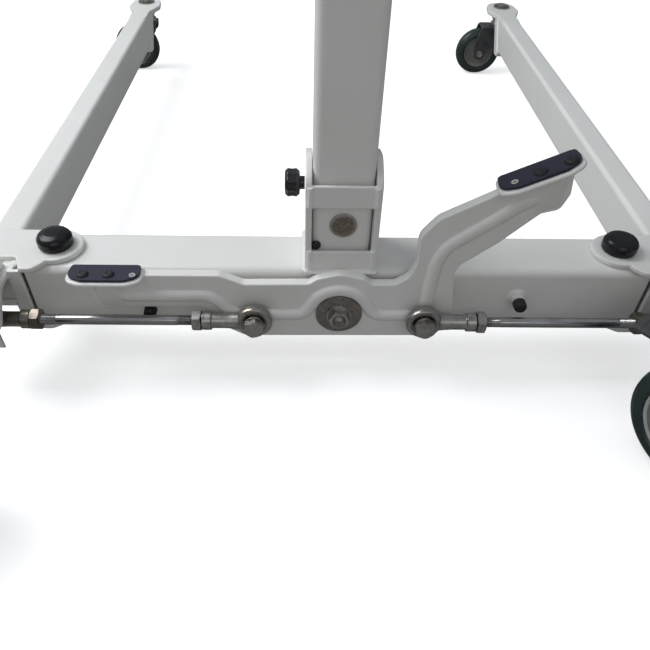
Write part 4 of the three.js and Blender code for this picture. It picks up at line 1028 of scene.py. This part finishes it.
def leg(side, s):
    body = "leg_assembly_" + side

    def mirrored(points, steps=8):
        return rounded([(s * x, *rest) for x, *rest in points], steps)

    piece("leg_tube_" + side, PAINT, body, [box_tube(
        (s * LEG_IN, s * LEG_OUT, LEG_LOW, LEG_HIGH), (5.5, 2.8), "y", -19, 749.5, 0.4, rake)],
        "leg_" + side)
    # raked end strip, a little proud of the tube and hanging below it
    piece("leg_end_strip_" + side, PAINT, body, [prism(
        rounded(END_STRIP, 10), "x", s * (LEG_IN - 1.5), s * (LEG_OUT + 1.5), 3.2, 6)], angle=50)
    piece("leg_caster_plate_" + side, PAINT, body,
          [prism(mirrored(CASTER_PLATE, 10), "z", 114.2, 122.2, 1.8, 5)],
          cut=[cylinder("z", (s * FRONT_X, FRONT_Y, 0), 6.6, 100, 140)], angle=50)
    # hood over the outer end of the tie rod
    piece("leg_hood_" + side, PAINT, body,
          [prism(rect(s * 312, s * 368, -79.5, -14, 7), "z", 63.5, 122, 2.4, 5)],
          cut=[prism(rect(s * 316, s * 365.4, -77.3, -18, 4.5), "z", 40, 118, 0),
               prism(rounded(HOOD_MOUTH), "x", s * 308, s * 317.5, 0)], angle=40)
    # welded rear end: fork plates, webs and the raised caster arm
    hole = cylinder("z", (s * LEG_PIVOT_X, 0, 0), 8.3, 30, 140)
    shapes = [drilled(prism(mirrored(UPPER_FORK), "z", 122.3, 127.8, 1.3), hole),
              drilled(prism(mirrored(LOWER_FORK), "z", 46.2, 51.7, 1.3), hole)]
    shapes += [prism(rect(s * x0, s * x1, y0, y1, 1.0), "z", z0, z1, 0.5)
               for x0, x1, y0, y1, z0, z1 in WEBS]
    shapes += [prism(rounded(CASTER_ARM), "x", s * 318, s * 335.8, 1.5),
               prism(mirrored(ARM_PAD), "z", 152, 164, 1.8),
               weld([(s * 318.6, 24, 122.6), (s * 318.6, 26.3, 122.2), (s * 319.6, 26.6, 110),
                     (s * 319.6, 26.3, 72)], 1.5, 41)]
    piece("leg_rear_end_" + side, PAINT, body, shapes, voxel=0.75, smooth=1)
    pivot = (s * LEG_PIVOT_X, 0, 0)
    piece("pivot_cap_domed_" + side, CAP_BLACK, "base", [lathe(PIVOT_CAP, "z", pivot, 72)],
          "pivot_cap_" + side)
    piece("pivot_bolt_head_" + side, ZINC, "base",
          [head(22, 34, 45.7, "z", pivot), cylinder("z", pivot, 8, 45, 127)],
          "leg_pivot_bolt_" + side)
    link_at = (s * 345.4, TIE_Y, 0)
    piece("link_pin_turned_" + side, ZINC, body, [lathe(LINK_PIN, "z", link_at, 40)],
          "link_pin_" + side)
    piece("link_pin_head_" + side, ZINC, body, [lathe(
        [(0, 122.2), (9.5, 122.2, 0.3), (9.0, 124.4, 1.2), (5, 125.7, 1.5), (0, 125.8)],
        "z", link_at, 40)])


for side, s in SIDES:
    leg(side, s)


# ================================================================== casters
# Each caster is laid out with its stem on the z axis and its wheel trailing towards +x.
def wheel(end, side, at, radius, width, hub_r, bore, rim_finish):
    half = width / 2
    body = "%s_wheel_body_%s" % (end, side)

    def turned(part, finish, profile, replaces=None):
        piece("%s_wheel_%s_%s" % (end, part, side), finish, body,
              [lathe(symmetric(profile), "y", (0, 0, 0), 96, closed=True)], replaces, at)

    turned("tyre", TYRE, [
        (hub_r, -half + 3), (hub_r + 2, -half + 0.8, 1.2), (radius - 7, -half + 1.2, 3),
        (radius - 1.6, -half + 5.5, 4), (radius, -half * 0.25, 10)], "%s_wheel_%s" % (end, side))
    # ring that the tyre sits on
    turned("rim", rim_finish, [(hub_r - 3.2, -half + 3.6), (hub_r - 0.1, -half + 1.6, 0.8)])
    # dished hub with concentric rings and a boss
    outer, boss = hub_r - 3.3, bore + 5.5
    dish = outer - boss - 4
    profile = [(bore, -half + 0.5, 0.4), (boss, -half + 0.5, 1.0), (boss + 1.0, -half + 4.5, 1.2)]
    for j in range(3):
        r = boss + 2 + dish * j / 3
        profile += [(r + 0.6, -half + 5.2, 0.5), (r + dish / 6, -half + 4.2, 0.8),
                    (r + dish / 3 - 0.6, -half + 5.2, 0.5)]
    profile += [(outer - 1.2, -half + 4.0, 0.8), (outer, -half + 3.4)]
    turned("hub", HUB, profile)


def axle(end, side, at, centre, radius, flats, half, face, tip, replaces=None):
    """Bolt of half length half, with a head and a nut that run from face out to tip."""
    body = "%s_caster_%s" % (end, side)
    for part, shape, cad in (("bolt", cylinder("y", centre, radius, -half, half), replaces),
                             ("head", head(flats, -tip, -face, "y", centre), None),
                             ("nut", hexagon(flats, face, tip, "y", centre), None)):
        piece("%s_axle_%s_%s" % (end, part, side), ZINC, body, [shape], cad, at)


def front_caster(side, s):
    at = shift(s * FRONT_X, FRONT_Y, 0) @ turn(180, "Z")
    body = "leg_assembly_" + side
    middle = (0, 0, 0)
    piece("front_stem_washer_" + side, ZINC_DARK, body, [lathe(
        [(0, 122.5), (14.5, 122.5, 0.4), (14.5, 124.5, 0.4), (0, 124.5)], "z")],
        "front_stem_" + side, at)
    piece("front_stem_nut_" + side, ZINC, body, [hexagon(17, 124.5, 127.4, "z", rot=0.2)], at=at)
    piece("front_stem_bearing_" + side, ZINC, body, [lathe(
        [(0, 90.4), (13.8, 90.4, 0.8), (14, 95.8, 0.8), (11, 96.4, 0.3), (11, 102, 0.3),
         (13, 102.4, 0.6), (13, 107, 0.6), (10, 107.4, 0.3), (10, 113.4), (6, 114.4), (6, 122.8),
         (0, 122.8)], "z", middle, 56)], at=at)
    cheek = rounded([(-15, 90, 2), (33, 90, 5), (38, 74, 12), (42, 46, 8), (37, 31, 8),
                     (23, 31, 8), (14, 50, 10), (-13, 74, 8)])
    piece("front_fork_pressed_" + side, STEEL, "front_caster_" + side, [
        prism(cheek, "y", 14.2, 17.0, 0.7), prism(cheek, "y", -17.0, -14.2, 0.7),
        prism(rect(-15, 33, -16.9, 16.9, 4), "z", 87.0, 90.0, 0.8)],
        "front_fork_" + side, at, voxel=0.7, smooth=2)
    trail, radius = 30, 42
    axle("front", side, at, (trail, 0, radius), radius=4, flats=11, half=17, face=17.0, tip=21.5)
    wheel("front", side, at @ shift(trail, 0, radius), radius, width=26, hub_r=28, bore=4.4,
          rim_finish=HUB)


def rear_caster(side, s, swivel):
    at = shift(s * REAR_X, REAR_Y, 0) @ turn(swivel, "Z")
    leg_body, body = "leg_assembly_" + side, "rear_caster_" + side
    middle = (0, 0, 0)
    piece("rear_stem_bearing_" + side, ZINC, leg_body, [lathe(
        [(0, 141.4), (17.8, 141.4, 0.8), (18, 145.6, 0.8), (13, 147, 0.4), (13, 151.4, 0.4),
         (8, 151.6), (8, 164.4), (0, 164.4)], "z", middle, 56)], "rear_stem_" + side, at)
    piece("rear_stem_nut_" + side, ZINC, leg_body, [
        hexagon(19, 165.8, 172, "z", rot=0.3),
        lathe([(0, 164.3), (13, 164.3, 0.3), (13, 165.9, 0.3), (0, 165.9)], "z")], at=at)
    cheek = rounded([(-20, 141, 4), (34, 141, 9), (54, 112, 18), (53, 64, 12), (49, 50, 11),
                     (31, 50, 11), (18, 90, 16), (-16, 124, 8)])
    piece("rear_fork_pressed_" + side, STEEL, body, [
        prism(cheek, "y", 16.5, 19.6, 0.8), prism(cheek, "y", -19.6, -16.5, 0.8),
        prism(rect(-20, 30, -19.5, 19.5, 5), "z", 137, 141, 1.0)],
        "rear_fork_" + side, at, voxel=0.8, smooth=3)
    trail, radius = 40, 62.5
    axle("rear", side, at, (trail, 0, radius), radius=5, flats=15, half=20, face=19.8, tip=26,
         replaces="rear_axle_" + side)
    for letter, start, end in (("a", -25.2, -19), ("b", 19, 25.2)):
        piece("brake_hinge_pin_%s_%s" % (side, letter), ZINC, body,
              [cylinder("y", (6, 0, 132.5), 3.3, start, end, 32, 0.6)], at=at)
    wheel("rear", side, at @ shift(trail, 0, radius), radius, width=30, hub_r=46, bore=5.4,
          rim_finish=HUB_RING)
    brake_pedal(side, at)


def brake_pedal(side, at):
    """Two arms and a leaf with raised ribs along arcs."""
    leaf_r, leaf_top = 122, 136.0
    arm = rounded([(-1, 126, 5), (-1, 138.5, 5), (14, 138.5, 4), (66, 141, 6), (90, 138, 3),
                   (90, 131.5, 0), (64, 134, 6), (14, 127, 4)])
    rim = [(leaf_r * math.cos(a * DEG), leaf_r * math.sin(a * DEG), 8 if i in (0, 20) else 0)
           for i, a in enumerate(np.linspace(-14.6, 14.6, 21))]
    leaf = rounded([(78, -24.4, 5)] + rim + [(78, 24.4, 5)], 6)
    shapes = [prism(arm, "y", 20.0, 24.3, 0.8), prism(arm, "y", -24.3, -20.0, 0.8),
              prism(leaf, "z", 131.4, 136.2, 1.6, 4)]
    for r in (88, 94, 100, 106, 112, 117):
        half_angle = 14.2 if r > 95 else 13.4
        narrow = 0.93 if r < 100 else 1.0
        path = [(r * math.cos(a * DEG), r * math.sin(a * DEG) * narrow, leaf_top)
                for a in np.linspace(-half_angle, half_angle, 25)]
        shapes.append(sweep(path, 1.5, 12, ref=(0, 0, 1), taper=3.0))
    piece("brake_pedal_leaf_" + side, BRAKE, "brake_" + side, shapes, "brake_pedal_" + side, at,
          voxel=0.65, smooth=2)


for side, s in SIDES:
    front_caster(side, s)
for (side, s), swivel in zip(SIDES, (205, 120)):
    rear_caster(side, s, swivel)

# ================================================================== boom
# Laid out along +y from its pivot, then raised.
BOOM = "boom_assembly"
BOOM_BOX = (-20, 20, -22, 22)
BOOM_AT = shift(0, PIVOT_Y, PIVOT_Z) @ turn(BOOM_RISE, "X")
LUG_Y = math.sqrt(PUMP_ARM ** 2 - BOOM_LUG_DROP ** 2)
piece("boom_tube", PAINT, BOOM, [box_tube(BOOM_BOX, (6, 4), "y", -26, 734, 0.5)], "boom", BOOM_AT,
      cut=[prism(rect(-12, 12, -40, 10, 2), "y", 694, 760, 0),
           cylinder("x", (0, 0, 0), 8.3, -60, 60),
           cylinder("x", (0, BOOM_REACH, 0), 5.3, -60, 60)], angle=40)
piece("boom_bushing", ZINC, BOOM, [lathe(
    symmetric([(8.2, -20.4), (13.5, -20.4, 0.8)]), "x", closed=True)], at=BOOM_AT)
piece("boom_rear_plug", BLACK, BOOM,
      [prism(rect(-19.8, 19.8, -21.8, 21.8, 5.8), "y", -26.9, -25.9, 0.4)], at=BOOM_AT)
lug = rounded([(LUG_Y - 34, -21.5), (LUG_Y - 10, -56, 10), (LUG_Y + 10, -56, 10),
               (LUG_Y + 34, -21.5)])
for side, s in SIDES:
    piece("boom_lug_" + side, PAINT, BOOM, [prism(lug, "x", s * 12, s * 17, 0.8)], at=BOOM_AT,
          cut=[cylinder("x", (0, LUG_Y, -BOOM_LUG_DROP), 6.3, -60, 60)], angle=40)
    piece("boom_lug_weld_" + side, PAINT, BOOM, [weld(
        [(s * 17.4, LUG_Y - 33, -22.6), (s * 17.4, LUG_Y + 33, -22.6)], 1.8, 51 + s)], at=BOOM_AT)
RISE_COS, RISE_SIN = math.cos(BOOM_RISE * DEG), math.sin(BOOM_RISE * DEG)
PUMP_TOP_Y = PIVOT_Y + LUG_Y * RISE_COS + BOOM_LUG_DROP * RISE_SIN
PUMP_TOP_Z = PIVOT_Z + LUG_Y * RISE_SIN - BOOM_LUG_DROP * RISE_COS
pin("pump_top_bolt", BOOM, "pump_top_pin", (0, PUMP_TOP_Y, PUMP_TOP_Z), **PUMP_PIN)

# ================================================================== pump
# Laid out upright from its foot, then leaned to reach the boom.
PUMP_LEAN = math.degrees(math.atan2(PUMP_TOP_Z - PUMP_Z, PUMP_TOP_Y - PUMP_Y))
PUMP_LENGTH = math.hypot(PUMP_TOP_Y - PUMP_Y, PUMP_TOP_Z - PUMP_Z)
PUMP_AT = shift(0, PUMP_Y, PUMP_Z) @ turn(PUMP_LEAN - 90, "X")
PUMP_EYE = symmetric([(6.2, -11.4), (13, -11.4, 1)])
piece("pump_cylinder_body", PAINT, "pump_cylinder", [lathe(
    [(0, 17.5), (15, 17.5, 2), (28, 26, 5), (28, 96, 5), (24, 103, 3), (21.5, 107, 3),
     (21.5, 371, 1), (23.5, 373, 0.8), (23.5, 384, 2.0), (12.2, 385, 0.8), (11.8, 383),
     (11.8, 32), (0, 30)], "z", sides=72)], "pump_body", PUMP_AT, angle=40)
piece("pump_base_eye", ZINC, "pump_cylinder", [
    lathe(PUMP_EYE, "x", closed=True),
    prism(rect(-11, 11, 8, 19, 1), "x", -11.4, 11.4, 1.0)], at=PUMP_AT)
piece("pump_gland_nut", ZINC, "pump_cylinder", [lathe(
    [(22, 366), (24.6, 366, 0.8), (24.6, 373, 0.8), (22, 373)],
    "z", sides=60, closed=True)], at=PUMP_AT)
piece("pump_wiper_seal", BLACK_RUBBER, "pump_cylinder", [lathe(
    [(11.4, 383.5), (15.5, 383.5), (15.0, 387.0, 1.2), (11.4, 387.8, 0.6)],
    "z", closed=True)], at=PUMP_AT)
piece("pump_handle_block", PAINT, "pump_cylinder",
      [prism(rect(-15, 15, 40, 76, 4), "x", 26, 33, 1.4)], at=PUMP_AT)
piece("release_valve_block", PAINT, "pump_cylinder",
      [prism(rect(-12, 12, 44, 70, 4), "x", -33.8, -26, 1.4)], at=PUMP_AT)
RELEASE_Z = 57
knob = lathe([(0, -52.3), (10.5, -52.3, 2), (13.6, -49.6, 1.5), (14, -38.5, 1.2),
              (13, -35.8, 0.8), (4.2, -35.6), (4.2, -34.0), (0, -34.0)],
             "x", (0, 0, RELEASE_Z), 90)
knob = fluted(knob, 0, RELEASE_Z, -50.5, -36.5, lambda a: 0.05 * (abs(math.cos(9 * a)) - 0.6))
piece("release_knob_fluted", RED, "release_valve", [knob], "release_knob", PUMP_AT)
PUMP_HANDLE = [(46, 0, 58), (46, -26, 80), (50, -84, 116), (56, -150, 150), (58, -200, 170)]
path = smooth_path(PUMP_HANDLE, 12)
GRIP_START = 22                     # station along the path
piece("pump_handle_bar", STEEL, "pump_lever", [sweep(path, 6.2, 24)], at=PUMP_AT)
piece("pump_handle_grip", GRIP, "pump_lever", [sweep(path[GRIP_START:], 8.0, 28, taper=5.0)],
      at=PUMP_AT)
piece("pump_handle_hub", BLACK, "pump_lever", [lathe(
    [(0, 28.8), (4.9, 28.8), (4.9, 33.6), (15.6, 33.6, 1.2), (16, 39.6, 1.2), (10, 40.2, 0.6),
     (10, 49, 1.5), (0, 49.6)], "x", PUMP_HANDLE[0][1:2] * 2 + (58,))], "pump_handle", PUMP_AT)
piece("pump_ram_rod", NICKEL, "pump_piston", [lathe(
    [(0, PUMP_LENGTH - 405), (10.4, PUMP_LENGTH - 405, 0.5), (11, PUMP_LENGTH - 403.5, 0.5),
     (11, PUMP_LENGTH - 20, 0.6), (0, PUMP_LENGTH - 18)], "z", sides=56)], "pump_ram", PUMP_AT)
piece("pump_ram_clevis", ZINC, "pump_piston", [
    lathe(PUMP_EYE, "x", (0, 0, PUMP_LENGTH), closed=True),
    prism(rect(-9, 9, -9, 9, 2), "z", PUMP_LENGTH - 23, PUMP_LENGTH - 9, 1.0)], at=PUMP_AT)

# ================================================================== hanger and spreader
TIP_Y, TIP_Z = PIVOT_Y + BOOM_REACH * RISE_COS, PIVOT_Z + BOOM_REACH * RISE_SIN
HANG = 158                          # hanger pin down to the spreader's origin
FOOT = 44 - HANG                    # lower end of the hanger bar, at the top of the spreader boss
HANGER_AT = shift(0, TIP_Y, TIP_Z)
piece("hanger_link_bar", ZINC, "hanger_link", [
    prism(rounded([(-9, 12, 8), (9, 12, 8), (9, FOOT + 14, 4), (-9, FOOT + 14, 4)], 10),
          "y", -9, 9, 2.0, 4),
    lathe([(0, FOOT + 0.6), (14, FOOT + 0.6, 1.0), (14, FOOT + 14, 1.5), (9, FOOT + 20, 3),
           (0, FOOT + 22)], "z", sides=56)], "hanger", HANGER_AT, union=True, angle=38)
piece("hanger_cross_pin", ZINC, "hanger_link", [lathe(
    symmetric([(0, -27), (8.2, -27, 1.2), (8.5, -20.6, 0.6), (5, -20.4)]), "x")], at=HANGER_AT)
piece("hanger_swivel_stud", ZINC, "hanger_link", [lathe(
    [(0, FOOT - 32), (9.6, FOOT - 32, 0.8), (10, FOOT - 25, 0.6), (6, FOOT - 24.8),
     (6, FOOT + 2), (0, FOOT + 2)], "z")], at=HANGER_AT)
# spreader bar: x, y, z from the left hook to the middle
HOOK_X, HOOK_Z = 174, -8
spreader = [(-HOOK_X, 0, HOOK_Z), (-180, 0, -32), (-167, 0, -48), (-149, 0, -42), (-142, 0, -18),
            (-128, 0, -1), (-84, 0, 17), (-42, 0, 25), (0, 0, 28)]
SPREADER_AT = shift(0, TIP_Y, TIP_Z - HANG)
piece("spreader_bar_tube", PAINT, "spreader", [
    sweep(smooth_path(both_halves(spreader), 14), 10, 28),
    lathe([(0, 13.5), (16.4, 13.5, 1.2), (17, 20, 2), (17, 42.5, 1.6), (0, 44)], "z", sides=56)],
    "spreader_bar", SPREADER_AT, union=True, angle=40,
    cut=[cylinder("z", (0, 0, 0), 6.5, 0, 60), cylinder("z", (0, 0, 0), 10.7, -5, 19.8)])
for side, s in SIDES:
    cap = lathe([(0, -2.0), (10.6, -2.0, 0.6), (10.9, 6, 2.0), (8.6, 11.0, 3), (0, 12.8)],
                "z", sides=40)
    piece("spreader_hook_cap_" + side, BLACK, "spreader",
          [moved(cap, shift(s * HOOK_X, 0, HOOK_Z) @ turn(s * 14, "Y"))], at=SPREADER_AT)

# CAD pieces that stay in view get their material too
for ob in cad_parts.values():
    if not ob.hide_render:
        ob.data.materials.clear()
        ob.data.materials.append(ZINC.material)


# ------------------------------------------------------------------ stage, light, camera (metres)
def build_floor():
    """Pale to the camera; what it throws back on the lift is dimmer."""
    bm = bmesh.new()
    bmesh.ops.create_grid(bm, x_segments=2, y_segments=2, size=9.0)
    mesh = bpy.data.meshes.new("floor")
    bm.to_mesh(mesh)
    bm.free()
    floor = link("floor", mesh)
    material = bpy.data.materials.new("pale_floor")
    material.use_nodes = True
    nodes = Nodes(material.node_tree)
    pale = nodes.tree.nodes["Principled BSDF"]
    nodes.set(pale, Base_Color=(0.93, 0.93, 0.93), Roughness=0.9, Emission_Color=(1, 1, 1),
              Emission_Strength=0.55)
    dim = nodes.add("BsdfDiffuse", Color=(0.34, 0.335, 0.33))
    choice = nodes.add("MixShader")
    seen = nodes.add("LightPath").outputs["Is Camera Ray"]
    for socket, value in zip(choice.inputs, (seen, dim.outputs[0], pale.outputs[0])):
        nodes.feed(socket, value)
    nodes.set(nodes.tree.nodes["Material Output"], Surface=choice.outputs[0])
    mesh.materials.append(material)


def build_world():
    """Sky bright above and on the front left, dark on the front right, grey behind."""
    world = bpy.data.worlds.new("studio")
    SCENE.world = world
    world.use_nodes = True
    nodes = Nodes(world.node_tree)
    direction = nodes.add("SeparateXYZ")
    nodes.feed(direction.inputs[0], nodes.add("TexCoord").outputs["Generated"])
    up = nodes.remap(direction.outputs["Z"], span=(0.0, 0.85))
    forward = nodes.remap(direction.outputs["Y"], span=(-0.7, 0.5))
    rightward = nodes.remap(direction.outputs["X"], span=(-0.7, 0.7))
    front = nodes.mix(rightward, (0.70, 0.73, 0.76), (0.07, 0.07, 0.075))
    horizon = nodes.mix(forward, (0.40, 0.39, 0.375), front)
    sky = nodes.mix(up, horizon, (0.56, 0.59, 0.63))
    nodes.set(nodes.tree.nodes["Background"], Color=sky, Strength=0.62)


def area_light(name, location, target, size, power, color):
    light = bpy.data.lights.new(name, "AREA")
    light.shape = "RECTANGLE"
    light.size, light.size_y = size
    light.energy = power
    light.color = color
    ob = link(name, light)
    ob.location = location
    aim = Vector(target) - Vector(location)
    ob.rotation_euler = aim.to_track_quat("-Z", "Y").to_euler()


def build_camera(place, yaw, pitch, roll):
    """Camera at place; it looks along +y, turned right by yaw and down by pitch (radians)."""
    forward = Vector((math.sin(yaw) * math.cos(pitch), math.cos(yaw) * math.cos(pitch),
                      -math.sin(pitch)))
    right = Vector((math.cos(yaw), -math.sin(yaw), 0))
    up = right.cross(forward)
    axis_x = right * math.cos(roll) + up * math.sin(roll)
    axis_y = -right * math.sin(roll) + up * math.cos(roll)
    camera = bpy.data.cameras.new("camera")
    ob = link("camera", camera)
    rows = zip(axis_x, axis_y, -forward, place)
    ob.matrix_world = Matrix((*rows, (0, 0, 0, 1)))
    camera.sensor_width = 36
    camera.lens = 34.450338
    camera.shift_x = 0.01723077
    camera.clip_start = 0.01
    SCENE.camera = ob


build_floor()
build_world()
area_light("key_overhead", location=(-1.26, 0.15, 1.62), target=(-0.15, -0.1, 0),
           size=(1.2, 1.2), power=28, color=(0.97, 0.985, 1.0))
area_light("rear_fill", location=(0.2, -2.4, 1.6), target=(0, -0.2, 0.2),
           size=(1.8, 1.0), power=5, color=(1.0, 0.97, 0.93))
build_camera(place=(-0.0329 + SHIFT_X * MM, -0.4942 + SHIFT_Y * MM, 0.4904),
             yaw=1.121 * DEG, pitch=43.45 * DEG, roll=1.162 * DEG)
SCENE.view_settings.view_transform = "Standard"
SCENE.view_settings.look = "None"
